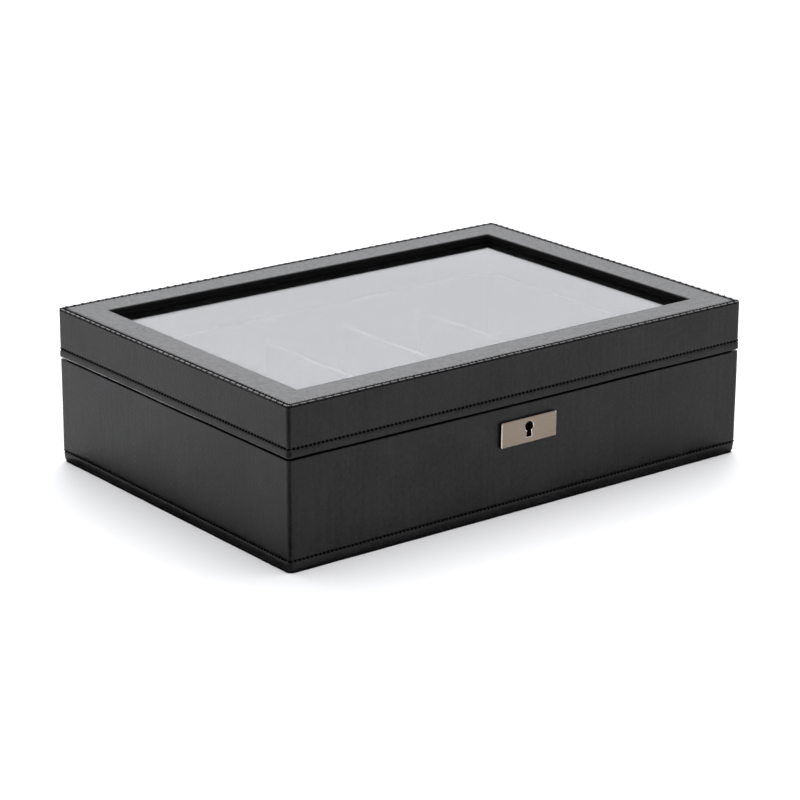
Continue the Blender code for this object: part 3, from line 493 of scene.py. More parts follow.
def lid_section():
    """The cover's exposed points: in from the seam, up the face, over the top and down the window."""
    lip, bead, window = 0.4 * MM, 0.4 * MM, 1.8 * MM
    edge = LID_BOTTOM + LIP_RISE
    points = [(TURN_IN, LID_BOTTOM)]
    points += [(inset, LID_BOTTOM) for inset in reversed(steps_between(GAP_DEPTH + 0.5 * MM, TURN_IN))]
    points += [(GAP_DEPTH + 0.4 * MM, LID_BOTTOM), (GAP_DEPTH, edge), (0.6 * GAP_DEPTH, edge)]
    points += arc((lip, edge + lip), lip, 270, 180, 8)
    points += [(0, z) for z in steps_between(edge + lip, NOTCH[1] - NOTCH_HALF, LID_LOWER_LINE.level)]
    points += [(0, NOTCH[1] - NOTCH_HALF), NOTCH, (0.02 * MM, NOTCH[1] + NOTCH_HALF)]
    points += arc((bead, LID_TOP - bead), bead, 180, 90)
    flat = steps_between(bead, FRAME_WIDTH - window, LID_TOP_LINE.inset)
    points += [(inset, LID_TOP) for inset in flat if inset > bead]
    points += arc((FRAME_WIDTH - window, LID_TOP - window), window, 90, 0)
    return points + [(FRAME_WIDTH, LIP_UNDERSIDE)]


def section_normals(points):
    """Outward normals, as (outwards, up), of a section that runs up its outer face."""
    path = np.array([(-inset, z) for inset, z in points])
    along = np.gradient(path, axis=0)
    along /= np.linalg.norm(along, axis=1)[:, None]
    return np.stack([along[:, 1], -along[:, 0]], 1)


def corner_radius(inset, level, foot):
    """The corner's radius at the outer face, where foot says that it widens towards the bottom."""
    radius = CORNER_RADIUS
    if foot:
        share = smooth_step(1 - (level - WRAP_BOTTOM) / FOOT_HEIGHT)
        radius = radius + (FOOT_CORNER_RADIUS - CORNER_RADIUS) * share
    return max(float(radius), inset + INNER_CORNER)


def seam_wander(points, inset):
    """How far the leather's edge at the seam wanders up or down: the same for base and lid."""
    level_points = points * np.array([1, 1, 0])
    near = np.exp(-(((points[:, 2] - SEAM_Z) / (4 * MM)) ** 2))
    fade = 1 - smooth_step((inset - 1.5 * MM) / (3 * MM))
    return 0.16 * MM * ripple(level_points, 85 * MM, 5) * near * fade


def relief(points, inset, seed):
    """How far the leather stands out, without its stitches: a slack that shows in the reflections."""
    tight = 1 - smooth_step((inset - 18 * MM) / (5 * MM))
    slack = 0.1 * MM * ripple(points, 75 * MM, seed) + 0.012 * MM * ripple(points, 14 * MM, seed + 1)
    return slack * tight


def stitch_relief(places, line, inset, level):
    """The groove that the stitches press, the leather that bridges it between them, and the
    puckers beside it."""
    distance = math.hypot(inset - line.inset, level - line.level)
    off_hole = places - np.round(places)
    bridge = 1 - BRIDGE * np.exp(-((off_hole / HOLE_SHARE) ** 2))
    groove = -line.depth * math.exp(-((distance / line.width) ** 2)) * bridge
    beside = (distance / PUCKER_REACH) ** 2
    return groove - line.pucker * np.cos(2 * math.pi * off_hole) * beside * math.exp(1 - beside)


def is_painted_shade(inset, level):
    """Whether the strip of leather that starts at this point of a section gets the black paint that
    stands in for shade: the window's wall, the notch under the bead, or the groove of the top stitches."""
    window = inset > FRAME_WIDTH - 0.55 * MM
    notch = inset < NOTCH[0] + 0.01 * MM and -0.01 * MM < NOTCH[1] - level < NOTCH_HALF + 0.01 * MM
    groove = level == LID_TOP and GROOVE_SIDES[0] < inset - LID_TOP_LINE.inset < GROOVE_SIDES[1]
    return window or notch or groove


def add_skin(name, exposed, hidden, lines, seed, foot, strip, materials):
    """A closed leather skin. strip gives the levels between which it is puffed out, how far, and
    how far its lower edge flares. The second material, black paint that stands in for shade, goes on the
    window's wall, the notch and the groove of the top stitches."""
    places = ring_columns()
    anchors, normals = ring_frames(places)
    rows = []
    for (inset, level), (out, up) in zip(exposed, section_normals(exposed)):
        radius = corner_radius(inset, level, foot)
        points = ring_points(anchors, normals, inset, level, radius)
        height = relief(points, inset, seed)
        for line in lines:
            height += stitch_relief(places, line, inset, level)
        if level < strip[1] and inset < 3 * MM:
            share = min(1, (level - strip[0]) / (strip[1] - strip[0]))
            height += out * (strip[2] * math.sin(math.pi * share) + strip[3] * (1 - share))
        points[:, 2] += seam_wander(points, inset)
        rows.append(points + height[:, None] * np.column_stack([out * normals, np.full(len(places), up)]))
    for inset, level in hidden:
        rows.append(ring_points(anchors, normals, inset, level, inset + HIDDEN_CORNER))
    verts = np.stack(rows, 1).reshape(-1, 3)
    skin = add_piece(name, verts, quads(len(places), len(rows)), materials[0])
    skin.data.materials.append(materials[1])
    # Strips that get the black paint of painted shade.
    painted = [int(is_painted_shade(*point)) for point in exposed + hidden]
    skin.data.polygons.foreach_set("material_index", painted * len(places))
    return skin


def add_threads(name, line, seed, foot, material):
    """One stitch after another along a line: each rises from one hole and dives into the next."""
    shares = np.linspace(0, 1, THREAD_RINGS)
    spans = STITCH_GAP + (1 - 2 * STITCH_GAP) * shares
    places = (np.arange(ROUND_STITCHES)[:, None] + spans[None, :]).ravel()
    shares = np.tile(shares, ROUND_STITCHES)
    anchors, normals = ring_frames(places)
    on_top = line.inset > 0
    lean = THREAD_SLANT * (shares - 0.5)
    inset = line.inset + (lean if on_top else 0)
    level = line.level + (0 if on_top else lean)
    radius = corner_radius(line.inset, line.level, foot) + 0.3 * MM
    centres = ring_points(anchors, normals, inset, level, radius)
    facing = np.tile((0, 0, 1.0), (len(places), 1)) if on_top else np.column_stack([normals, 0 * shares])
    arch = np.sin(math.pi * shares) ** 0.6
    height = relief(centres, line.inset, seed) - line.depth - 0.4 * MM
    height += (line.thread + 0.38 * MM) * arch
    centres += height[:, None] * facing
    across = np.cross(facing, np.gradient(centres, axis=0))
    across /= np.linalg.norm(across, axis=1)[:, None]
    angles = np.arange(THREAD_SIDES) * 2 * math.pi / THREAD_SIDES
    plies = 1 + 0.14 * np.cos(2 * (angles[None, :] - 4.5 * shares[:, None]))
    thickness = line.thread * plies * (0.55 + 0.45 * arch[:, None])
    return add_tubes(name, centres, (facing, across), angles, thickness, THREAD_RINGS, material)


def add_tubes(name, centres, spokes, angles, thickness, rings, material):
    """Closed tubes, one after another, with a number of rings each. A ring goes round its centre
    in the plane of its two spokes."""
    around = spokes[0][:, None, :] * np.cos(angles)[:, None]
    around += spokes[1][:, None, :] * np.sin(angles)[:, None]
    verts = (centres[:, None, :] + around * thickness[:, :, None]).reshape(-1, 3)
    sides, size = len(angles), rings * len(angles)
    tube = quads(rings, sides, close_columns=False)
    first_cap = np.arange(sides)[::-1]
    last_cap = np.arange(sides) + size - sides
    faces = []
    for start in range(0, len(verts), size):
        faces += (tube + start).tolist()
        faces += [(first_cap + start).tolist(), (last_cap + start).tolist()]
    return face_out(add_piece(name, verts, faces, material, 80))


# Where a wrap runs, in millimetres: inset, and height above the lid's top.
WRAP_PATH = [(2.4, -0.6), (1.8, 0.05), (1.2, 0.16), (0.5, 0.12), (0.0, -0.15), (-0.12, -0.55), (0.3, -1.0)]
WRAP_SIDES = 6


def add_wraps(thread):
    """Short threads over the bead of the lid's top edge, one at every other hole beside it."""
    shares = np.linspace(-0.5, 0.5, len(WRAP_PATH))
    rings = []
    places = np.arange(0, ROUND_STITCHES, 2)
    for share, (inset, level) in zip(shares, WRAP_PATH):
        anchors, normals = ring_frames(places + WRAP_SLANT * share)
        radius = corner_radius(max(0, inset * MM), LID_TOP, False) + 0.2 * MM
        rings.append(ring_points(anchors, normals, inset * MM, LID_TOP + level * MM, radius))
    centres = np.stack(rings, 1)
    along = np.gradient(centres, axis=1)
    along /= np.linalg.norm(along, axis=2)[..., None]
    _, normals = ring_frames(places)
    beside = np.column_stack([-normals[:, 1], normals[:, 0], np.zeros(len(places))])[:, None, :]
    outwards = np.cross(along, np.broadcast_to(beside, along.shape))
    beside = np.cross(outwards, along)
    angles = np.arange(WRAP_SIDES) * 2 * math.pi / WRAP_SIDES
    ends = np.array([0.6] + [1] * (len(WRAP_PATH) - 2) + [0.6])
    thickness = np.tile(WRAP_THREAD * ends, len(places))[:, None]
    centres, *spokes = (array.reshape(-1, 3) for array in (centres, outwards, beside))
    wraps = add_tubes("lid_edge_wraps", centres, spokes, angles, thickness, len(WRAP_PATH), thread)
    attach(wraps, "lid")


def write_mesh(bm, mesh):
    """Turns the faces of each closed body outwards and puts them in a mesh."""
    bmesh.ops.recalc_face_normals(bm, faces=bm.faces)
    bm.to_mesh(mesh)
    bm.free()
    return mesh


def face_out(obj):
    bm = bmesh.new()
    bm.from_mesh(obj.data)
    write_mesh(bm, obj.data)
    return obj


# Cutting.


def add_prism(bm, outline, low_x, high_x):
    """A closed prism along X, with its outline in Y and Z."""
    first = [bm.verts.new((low_x, y, z)) for y, z in outline]
    last = [bm.verts.new((high_x, y, z)) for y, z in outline]
    bm.faces.new(first)
    bm.faces.new(last)
    for i, vert in enumerate(first):
        j = (i + 1) % len(first)
        bm.faces.new((vert, first[j], last[j], last[i]))


def cut(obj, prisms):
    """Takes prisms (outline, low x, high x) out of a piece, for good."""
    bm = bmesh.new()
    for prism in prisms:
        add_prism(bm, *prism)
    cutter = link_object("cutter", write_mesh(bm, bpy.data.meshes.new("cutter")))
    modifier = obj.modifiers.new("Cut", "BOOLEAN")
    modifier.object = cutter
    modifier.operation = "DIFFERENCE"
    modifier.solver = "EXACT"
    graph = bpy.context.evaluated_depsgraph_get()
    result = bpy.data.meshes.new_from_object(obj.evaluated_get(graph))
    obj.modifiers.clear()
    obj.data = result
    result.set_sharp_from_angle(angle=math.radians(SHARP_DEG))
    bpy.data.objects.remove(cutter)


def box_outline(low_y, low_z, high_y, high_z):
    return [(low_y, low_z), (high_y, low_z), (high_y, high_z), (low_y, high_z)]


def recess_round(node, side):
    """A cutter round a plate let into the leather. side is -1 below the seam and 1 above it."""
    low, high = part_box(node)
    gap = 0.3 * MM
    inner = SEAM_Z + side * 1.5 * MM
    levels = sorted((inner, SEAM_Z - side * 0.8 * MM))
    outline = box_outline(low.y - gap, levels[0], high.y + gap, levels[1])
    return outline, low.x - gap, high.x + gap


def hinge_cutters(side):
    """A recess for each leaf that widens into a notch for the barrel."""
    cutters = []
    for hinge in ("left", "right"):
        low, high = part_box(f"hinge_{hinge}_pin")
        leaf_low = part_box(f"hinge_{hinge}_base_leaf")[0]
        reach = 0.6 * MM
        shallow, deep = SEAM_Z + side * 1.5 * MM, SEAM_Z + side * 2.5 * MM
        other = SEAM_Z - side * 0.8 * MM
        step_y, outside = HALF[1] - 2.3 * MM, HALF[1] + 10 * MM
        inner = leaf_low.y - 0.3 * MM
        outline = [(inner, shallow), (step_y, shallow), (step_y, deep), (outside, deep)]
        outline += [(outside, other), (inner, other)]
        cutters.append((outline, low.x - reach, high.x + reach))
    return cutters


# Leather pieces.


def make_base_leather(materials):
    hidden = [(TURN_IN, RIM_Z - SKIN), (SKIN, RIM_Z - SKIN), (SKIN, WRAP_BOTTOM + SKIN)]
    hidden += [(UNDER_TURN_IN, WRAP_BOTTOM + SKIN)]
    strip = (WRAP_BOTTOM, BASE_LOWER_LINE.level, 0.12 * MM, 0)
    lines = [BASE_LOWER_LINE]
    wrap = add_skin("base_leather", base_section(), hidden, lines, 11, True, strip, materials)
    plate_low, plate_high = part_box("lock_plate")
    centre_z = (plate_low.z + plate_high.z) / 2
    key_low, key_high = centre_z - 4.9 * MM, centre_z + 6 * MM
    keyway = (box_outline(-HALF[1] - 10 * MM, key_low, -HALF[1] + 6 * MM, key_high), -3.6 * MM, 3.6 * MM)
    cut(wrap, hinge_cutters(-1) + [recess_round("lock_case", -1), keyway])
    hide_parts("base_leather_wrap")
    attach(wrap, "base")


def make_lid_leather(materials):
    inner = FRAME_WIDTH - SKIN
    hidden = [(inner, LIP_UNDERSIDE), (inner, LID_TOP - SKIN), (SKIN, LID_TOP - SKIN)]
    hidden += [(SKIN, LID_BOTTOM + SKIN), (TURN_IN, LID_BOTTOM + SKIN)]
    strip = (LID_BOTTOM + LIP_RISE, LID_LOWER_LINE.level, 0.12 * MM, LIP_FLARE)
    lines = [LID_LOWER_LINE, LID_TOP_LINE]
    cover = add_skin("lid_leather", lid_section(), hidden, lines, 23, False, strip, materials)
    cut(cover, hinge_cutters(1) + [recess_round("strike_plate", 1)])
    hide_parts("lid_leather_cover")
    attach(cover, "lid")


def make_stitching(thread):
    rows = [("base_lower_stitches", BASE_LOWER_LINE, 11, True, "base")]
    rows += [("lid_lower_stitches", LID_LOWER_LINE, 23, False, "lid")]
    rows += [("lid_top_stitches", LID_TOP_LINE, 23, False, "lid")]
    for name, line, seed, foot, body in rows:
        threads = add_threads(name, line, seed, foot, thread)
        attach(threads, body)


# Rounded solids.


def axis_steps(half, radius, step):
    """Coordinates from -half to half: even in the middle, and even in angle over the round ends.
    A row close inside each round end keeps the flat face's shading flat."""
    flat = half - radius
    ends = np.tan(np.radians(np.linspace(0, 45, 5))) * radius + flat
    ends = np.concatenate([[flat - 0.2 * min(radius, flat)], ends])
    inner = flat - 0.4 * min(radius, flat)
    middle = np.linspace(-inner, inner, max(2, round(2 * inner / step) + 1))
    return np.concatenate([-ends[::-1], middle, ends])


def rounded_block(name, low, high, radius, step, material, shape=None):
    """A box with round edges. shape(points, local) may move its points; local runs from -1 to 1."""
    low, high = np.array(low), np.array(high)
    centre, half = (low + high) / 2, (high - low) / 2
    axes = [axis_steps(h, radius, step) for h in half]
    counts = [len(a) for a in axes]
    faces = []
    for axis in range(3):
        first, second = [a for a in range(3) if a != axis]
        for end in (0, counts[axis] - 1):
            index = np.zeros((counts[first], counts[second], 3), int)
            index[..., axis] = end
            index[..., first] = np.arange(counts[first])[:, None]
            index[..., second] = np.arange(counts[second])[None, :]
            number = (index[..., 0] * counts[1] + index[..., 1]) * counts[2] + index[..., 2]
            block = [number[:-1, :-1], number[1:, :-1], number[1:, 1:], number[:-1, 1:]]
            faces.append(np.stack(block, -1).reshape(-1, 4))
    used, faces = np.unique(np.concatenate(faces), return_inverse=True)
    index = np.stack([used // (counts[1] * counts[2]), used // counts[2] % counts[1], used % counts[2]], 1)
    points = np.stack([axes[a][index[:, a]] for a in range(3)], 1)
    core = np.clip(points, radius - half, half - radius)
    off = points - core
    points = core + radius * off / np.maximum(np.linalg.norm(off, axis=1), 1e-9)[:, None]
    points += centre
    if shape is not None:
        points = shape(points, (points - centre) / half)
    obj = add_piece(name, points, faces.reshape(-1, 4), material)
    return face_out(obj)


# Lining pieces.


def add_ring(name, section, radius_at, move, material, sheet=False):
    """A section swept round the box. radius_at gives the corner radius at an inset, and move
    shifts the points of a row. A sheet's section has two ends, each filled across the box."""
    places = ring_columns()[::COLUMNS_PER_STITCH // 2]
    anchors, normals = ring_frames(places)
    rows = []
    for inset, level in section:
        points = ring_points(anchors, normals, inset, level, radius_at(inset))
        move(points, normals, inset, level)
        rows.append(points)
    faces = quads(len(places), len(rows), close_rows=not sheet).tolist()
    if sheet:
        first = np.arange(len(places)) * len(rows)
        faces += [first.tolist(), (first + len(rows) - 1)[::-1].tolist()]
    return face_out(add_piece(name, np.stack(rows, 1).reshape(-1, 3), faces, material))


def add_lining(name, outer, inner, bottom, top, lip_on_top, seed, material):
    """A padded ring of lining whose free lip, at its top or its bottom, is rounded over."""
    lip, middle = 1.6 * MM, (inner + outer) / 2
    levels = steps_between(bottom + 2 * MM, top - 2 * MM)
    upwards, downwards = [(outer, z) for z in levels], [(inner, z) for z in reversed(levels)]
    if lip_on_top:
        section = [(inner, bottom), (outer, bottom)] + upwards
        section += arc((outer + lip, top - lip), lip, 180, 90)
        section += arc((inner - lip, top - lip), lip, 90, 0) + downwards
    else:
        section = arc((inner - lip, bottom + lip), lip, 0, -90)
        section += arc((outer + lip, bottom + lip), lip, 270, 180)
        section += upwards + [(outer, top), (inner, top)] + downwards

    def radius_at(inset):
        return inset + (0.9 * MM if inset > middle else HIDDEN_CORNER)

    def move(points, normals, inset, level):
        if inset > middle:
            points[:, :2] += 0.12 * MM * ripple(points, 40 * MM, seed)[:, None] * normals

    return add_ring(name, section, radius_at, move, material)


def make_linings(suede):
    for body, lip_on_top, seed in (("base", True, 31), ("lid", False, 37)):
        low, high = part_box(f"{body}_back_lining")
        outer, inner = HALF[1] - high.y, HALF[1] - low.y
        ring = add_lining(f"{body}_lining", outer, inner, low.z, high.z, lip_on_top, seed, suede)
        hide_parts(*(f"{body}_{side}_lining" for side in ("front", "back", "left", "right")))
        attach(ring, body)


def make_dividers(suede):
    for number in range(1, 5):
        low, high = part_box(f"divider_{number}")

        def shape(points, local):
            """Suede over a thin board: its sides and its top edge aren't quite true."""
            middle = (low.x + high.x) / 2
            slack = 0.25 * MM * ripple(points, 60 * MM, 40 + number)
            slack *= 0.4 + 0.6 * (local[:, 2] > 0)
            points[:, 0] = middle + (points[:, 0] - middle) * 0.96 + slack
            dip = 0.25 * MM * (1 + ripple(points * (1, 1, 0), 50 * MM, 50 + number))
            points[:, 2] -= dip * (local[:, 2] > 0.9)
            return points

        divider = rounded_block(f"divider_{number}_suede", low, high, 2.3 * MM, 3.5 * MM, suede, shape)
        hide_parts(f"divider_{number}")
        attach(divider, "base")


def make_pads(suede):
    for number in range(1, 6):
        low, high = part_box(f"compartment_pad_{number}")

        def shape(points, local):
            """A crowned pad whose sides pull in between its corners, flat underneath."""
            rise = (1 - local[:, 0] ** 2) * (1 - local[:, 1] ** 2)
            upper = smooth_step(local[:, 2] + 0.2)
            points[:, 0] -= 0.5 * MM * local[:, 0] ** 3 * (1 - local[:, 1] ** 2)
            points[:, 1] -= 0.9 * MM * local[:, 1] ** 5 * (1 - local[:, 0] ** 2)
            points[:, 2] += upper * (1.4 * MM * rise ** 0.6 - 0.7 * MM)
            points[:, 2] += upper * 0.12 * MM * ripple(points, 30 * MM, 60 + number)
            return points

        pad = rounded_block(f"compartment_pad_{number}_suede", low, high, 1.8 * MM, 3 * MM, suede, shape)
        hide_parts(f"compartment_pad_{number}")
        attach(pad, "base")


def make_underside(felt):
    """Cut felt, nearly flush with the leather. Its edge wanders a little."""
    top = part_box("underside_felt")[1].z
    edge, ease = 0.35 * MM, 0.3 * MM
    flats = np.array([40, 20, 9, 4, 1.8]) * MM
    section = [(inset, top) for inset in flats]
    section += arc((edge + ease, top - ease), ease, 90, 180, 4)
    section += arc((edge + ease, ease), ease, 180, 270, 4)
    section += [(inset, 0) for inset in reversed(flats)]

    def radius_at(inset):
        return max(FOOT_CORNER_RADIUS, inset + INNER_CORNER)

    def move(points, normals, inset, level):
        if inset < edge + ease + 0.1 * MM:
            points[:, :2] -= 0.12 * MM * (1 + ripple(points * (1, 1, 0), 25 * MM, 71))[:, None] * normals
        if level > top / 2 and inset < flats[0]:
            points[:, 2] -= 0.04 * MM * (1 + ripple(points, 12 * MM, 72))

    sheet = add_ring("felt_underside", section, radius_at, move, felt, sheet=True)
    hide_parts("underside_felt")
    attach(sheet, "base")


def make_pane(glass):
    """The pane, less the thickness of the gasket that lies on it under the leather's lip."""
    low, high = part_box("lid_glass")
    high.z = PANE_TOP
    pane = rounded_block("glass_pane", low, high, 0.5 * MM, 40 * MM, glass)
    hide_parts("lid_glass")
    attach(pane, "lid")


def make_gasket(black):
    """A black ring between the pane and the leather's lip, with its inner edge eased. Its black paint
    stands in for the shade along the window's wall.
    """
    outer, inner, ease = FRAME_WIDTH - 6 * MM, FRAME_WIDTH + 0.1 * MM, 0.3 * MM
    bottom, top = PANE_TOP + 0.02 * MM, GLASS_TOP + 0.2 * MM
    section = [(outer, bottom)] + arc((inner - ease, bottom + ease), ease, 270, 360, 3)
    section += arc((inner - ease, top - ease), ease, 0, 90, 3) + [(outer, top)]

    def move(points, normals, inset, level):
        if inset > inner - ease:
            points[:, :2] -= 0.1 * MM * ripple(points, 22 * MM, 81)[:, None] * normals

    gasket = add_ring("glass_gasket", section, lambda inset: inset + INNER_CORNER, move, black)
    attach(gasket, "lid")


# Metal pieces.


# How far the bevel round the plate's face and the rim round its keyhole reach.
BEVEL = 0.55 * MM
RIM = 0.42 * MM


def rounded_rectangle(half_x, half_z, radius):
    points = []
    for quarter, (sx, sz) in enumerate(((1, 1), (-1, 1), (-1, -1), (1, -1))):
        centre = (sx * (half_x - radius), sz * (half_z - radius))
        points += arc(centre, radius, 90 * quarter, 90 * quarter + 90, 5)
    return points


def keyhole(clearance):
    """A round hole over a stem that widens towards its foot, about the plate's centre."""
    hole_z, foot_z = 2.4 * MM, -4.3 * MM - clearance
    radius, neck, foot = 3.2 * MM + clearance, 1.65 * MM + clearance, 2.1 * MM + clearance
    side = math.degrees(math.asin(neck / radius))
    points = arc((0, hole_z), radius, side - 90, 270 - side, 32)
    corner = 0.35 * MM
    points += arc((corner - foot, foot_z + corner), corner, 190, 270, 4)
    return points + arc((foot - corner, foot_z + corner), corner, 270, 350, 4)


def loft(bm, loops):
    """Joins each loop of points to the next, and returns the loops' vertices."""
    rings = [[bm.verts.new(point) for point in loop] for loop in loops]
    for lower, upper in zip(rings, rings[1:]):
        for i in range(len(lower)):
            j = (i + 1) % len(lower)
            bm.faces.new((lower[i], lower[j], upper[j], upper[i]))
    return rings


def fill_between(bm, outer_ring, hole_ring):
    """Fills the flat face between an outline and the hole in it."""
    rings = [outer_ring, hole_ring]
    verts = outer_ring + hole_ring
    for triangle in tessellate_polygon([[vert.co for vert in ring] for ring in rings]):
        bm.faces.new([verts[i] for i in triangle])


def make_lock_plate(nickel, polished_highlight, black):
    """The plate, with a bevel round its face and a dished rim round its keyhole. Its side walls get the
    black paint that stands in for their shade, and its bevel and rim a smoother, lighter nickel whose
    lighter colour is a painted highlight, apart from the bevel along its top, which is left plain to read
    as shaded."""
    low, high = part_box("lock_plate")
    centre_z = (low.z + high.z) / 2
    front, back = low.y, -HALF[1] - 0.2 * MM
    half_x, half_z = high.x, (high.z - low.z) / 2
    outer, hole = [], []
    for inset, y in ((0, back), (0, front + 0.42 * MM), (0.12 * MM, front + 0.24 * MM), (BEVEL, front)):
        outline = rounded_rectangle(half_x - inset, half_z - inset, 1.0 * MM - 0.6 * inset)
        outer.append([(x, y, z + centre_z) for x, z in outline])
    for clearance, y in ((0, back), (0, front + 0.3 * MM), (0.08 * MM, front + 0.16 * MM), (RIM, front)):
        hole.append([(x, y, z + centre_z) for x, z in keyhole(clearance)])
    bm = bmesh.new()
    outer_rings, hole_rings = loft(bm, outer), loft(bm, hole)
    bm.faces.ensure_lookup_table()
    top_bevel = centre_z + half_z - BEVEL - 0.01 * MM
    # Side walls: black paint as painted shade. Bevel and keyhole rim, but for the top bevel: the lighter
    # nickel as a painted highlight.
    for face in bm.faces:
        if max(vert.co.y for vert in face.verts) > back - 0.01 * MM:
            face.material_index = 2
        elif min(vert.co.z for vert in face.verts) <= top_bevel:
            face.material_index = 1
    fill_between(bm, outer_rings[0], hole_rings[0])
    fill_between(bm, outer_rings[-1], hole_rings[-1])
    mesh = write_mesh(bm, bpy.data.meshes.new("lock_plate_nickel"))
    plate = add_object("lock_plate_nickel", mesh, nickel, 9)
    plate.data.materials.append(polished_highlight)
    plate.data.materials.append(black)
    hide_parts("lock_plate")
    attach(plate, "base")


def dress_cad(materials):
    """Gives each CAD node that stays its material and eased edges."""
    for name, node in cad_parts.items():
        if node.hide_render:
            continue
        # The front board, seen through the keyway, is near-black as painted shade; the rails get the same
        # near-black board.
        if name == "base_front_board" or "rail" in name:
            material, width = materials["mdf_painted_shade"], 0.25 * MM
        elif "board" in name:
            material, width = materials["mdf"], 0.25 * MM
        elif name in ("lock_case", "lock_case_cover", "strike_plate"):
            material, width = materials["nickel"], 0.15 * MM
        elif name == "lock_bolt":
            material, width = materials["brass"], 0.15 * MM
        else:
            material, width = materials["steel"], 0.12 * MM
        node.data.materials.clear()
        node.data.materials.append(material)
        weld = node.modifiers.new("Weld", "WELD")
        weld.merge_threshold = 0.001 * MM
        eased = node.modifiers.new("Eased edges", "BEVEL")
        eased.width = width
        eased.segments = 2
        eased.limit_method = "ANGLE"
        eased.angle_limit = math.radians(35)


# Stage.


FLOOR_REACH = 9.0


def make_floor():
    corners = [(x * FLOOR_REACH, y * FLOOR_REACH, 0) for x, y in CORNER_SIGNS]
    material, _ = make_material("pale_floor", (0.85, 0.85, 0.85), 0.9, 0.1)
    floor = add_piece("floor", corners, [(0, 1, 2, 3)], material)


CAMERA_AZIMUTH = math.radians(-37.81)
CAMERA_TILT = math.radians(18.16)
CAMERA_ROLL = math.radians(0.16)
CAMERA_PLACE = (-1.0708, -1.3789, 0.6115)
CAMERA_LENS = 126.5


def make_camera():
    """A long lens from the front left, a little above the box."""
    data = bpy.data.cameras.new("camera")
    data.lens = CAMERA_LENS
    data.sensor_width = 36
    camera = link_object("camera", data)
    camera.matrix_world = Matrix.Translation(CAMERA_PLACE)
    turns = ((CAMERA_AZIMUTH, "Z"), (math.pi / 2 - CAMERA_TILT, "X"), (CAMERA_ROLL, "Z"))
    for angle, axis in turns:
        camera.matrix_world @= Matrix.Rotation(angle, 4, axis)
    bpy.context.scene.camera = camera


BRIGHTEST_AZIMUTH = CAMERA_AZIMUTH - math.radians(10)


def make_world():
    """A white studio that is dim on the camera's side and brightest behind the box, a little to
    the right, and above all in a band somewhat above the horizon."""
    world = bpy.data.worlds.new("studio")
    world.use_nodes = True
    bpy.context.scene.world = world
    tree = world.node_tree
    direction = add_node(tree, "ShaderNodeTexCoord").outputs["Generated"]
    behind = (-math.sin(BRIGHTEST_AZIMUTH), math.cos(BRIGHTEST_AZIMUTH), 0)
    facing = add_node(tree, "ShaderNodeVectorMath", {0: direction, 1: behind}, operation="DOT_PRODUCT")
    strength = fit(tree, facing.outputs["Value"], 0.15, 1.58, -0.8, 0.7)
    height = add_node(tree, "ShaderNodeSeparateXYZ", {"Vector": direction}).outputs["Z"]
    rising = fit(tree, height, 0, 0.16, 0.27, 0.305)
    band = multiply(tree, rising, fit(tree, height, 1, 0, 0.34, 0.4))
    strength = multiply(tree, strength, combine(tree, "ADD", band, 0.965))
    background = tree.nodes["Background"]
    background.inputs["Color"].default_value = (0.985, 0.992, 1.03, 1)
    tree.links.new(strength, background.inputs["Strength"])


def add_flag(name, corners, level):
    """A black card that only reflections see."""
    material, _ = make_material(name, (0, 0, 0), 1.0, 0.0)
    points = [(x, y, level) for x, y in corners]
    flag = add_piece(name, points, [range(len(points))], material)
    for ray in ("camera", "diffuse", "shadow", "transmission"):
        setattr(flag, f"visible_{ray}", False)


FLAG_REACH = 1.2
SIDE_FLAG_WIDTH = 0.016
FRONT_FLAG_WIDTHS = (0.004, 0.022)


def make_flags():
    """Keeps some of the floor out of the reflections at the near corner and low on the left side."""
    near = Vector((-HALF[0], -HALF[1]))
    angles = np.radians(np.linspace(-85, 8, 8))
    fan = [near + Vector((math.sin(a), -math.cos(a))) * FLAG_REACH for a in angles]
    add_flag("black_flag", [near] + fan, 0.3 * MM)
    far = Vector((-HALF[0], HALF[1]))
    out = Vector((-SIDE_FLAG_WIDTH, 0))
    add_flag("side_flag", [near, far, far + out, near + out], 0.2 * MM)
    right = Vector((HALF[0], -HALF[1]))
    near_front, right_front = (Vector((0, -width)) for width in FRONT_FLAG_WIDTHS)
    add_flag("front_flag", [near, near + near_front, right + right_front, right], 0.2 * MM)


def add_light(name, place_at, size, power):
    """An area light that faces the box."""
    data = bpy.data.lights.new(name, "AREA")
    data.shape = "RECTANGLE"
    data.size, data.size_y = size
    data.energy = power
    light = link_object(name, data)
    light.location = place_at
    light.rotation_euler = (-Vector(place_at)).to_track_quat("-Z", "Y").to_euler()


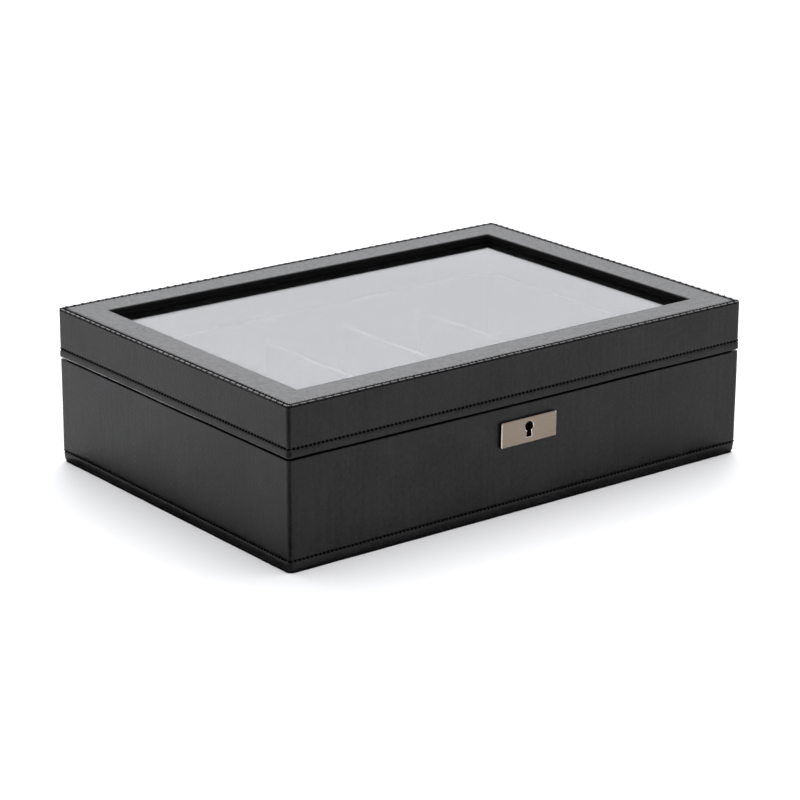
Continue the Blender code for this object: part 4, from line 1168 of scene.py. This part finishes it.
def make_lights():
    add_light("overhead", (0.1, 0.3, 2.4), (2.6, 2.6), 36)
    add_light("behind", (1.2, 1.55, 1.75), (1.7, 1.5), 30)
    add_light("fill", (-0.8, -1.2, 2.2), (2.0, 2.0), 20)


def make_materials():
    suede = ((0.007, 0.007, 0.0076), (0.02, 0.02, 0.0213))
    pale_board = ((0.3, 0.19, 0.11), (0.5, 0.36, 0.24))
    # Near-black board: painted shade for the front board seen through the keyway.
    shade_board = ((0.004, 0.003, 0.003), (0.012, 0.01, 0.009))
    nickel = ((0.19, 0.156, 0.123), (0.25, 0.206, 0.165))
    # The lighter nickel on the plate's bevel and keyhole rim is a painted highlight.
    polished_highlight = ((0.5, 0.45, 0.39), (0.64, 0.585, 0.515))
    steel = ((0.38, 0.36, 0.34), (0.56, 0.54, 0.51))
    brass = ((0.6, 0.42, 0.17), (0.78, 0.58, 0.27))
    return {
        "leather": make_leather(),
        "shade_paint": make_painted_shade(),
        "thread": make_thread(),
        "suede": make_suede("suede_lining", *suede),
        "felt": make_felt(),
        "mdf": make_board("mdf", *pale_board),
        "mdf_painted_shade": make_board("mdf_painted_shade", *shade_board),
        "glass": make_glass(),
        "nickel": make_metal("brushed_nickel", *nickel, 0.36, (0.06, 1, 1)),
        "polished_highlight": make_metal("polished_nickel_highlight", *polished_highlight, 0.2, (0.2, 1, 1)),
        "steel": make_metal("hinge_steel", *steel, 0.3, (0.05, 1, 1)),
        "brass": make_metal("brass", *brass, 0.32, (0.05, 1, 1)),
    }


def main():
    bpy.context.scene.view_settings.view_transform = "Standard"
    make_camera()
    make_world()
    make_lights()
    make_flags()
    make_floor()
    materials = make_materials()
    leathers = (materials["leather"], materials["shade_paint"])
    make_base_leather(leathers)
    make_lid_leather(leathers)
    make_stitching(materials["thread"])
    add_wraps(materials["thread"])
    make_linings(materials["suede"])
    make_dividers(materials["suede"])
    make_pads(materials["suede"])
    make_underside(materials["felt"])
    make_pane(materials["glass"])
    make_gasket(materials["shade_paint"])
    make_lock_plate(materials["nickel"], materials["polished_highlight"], materials["shade_paint"])
    dress_cad(materials)


main()
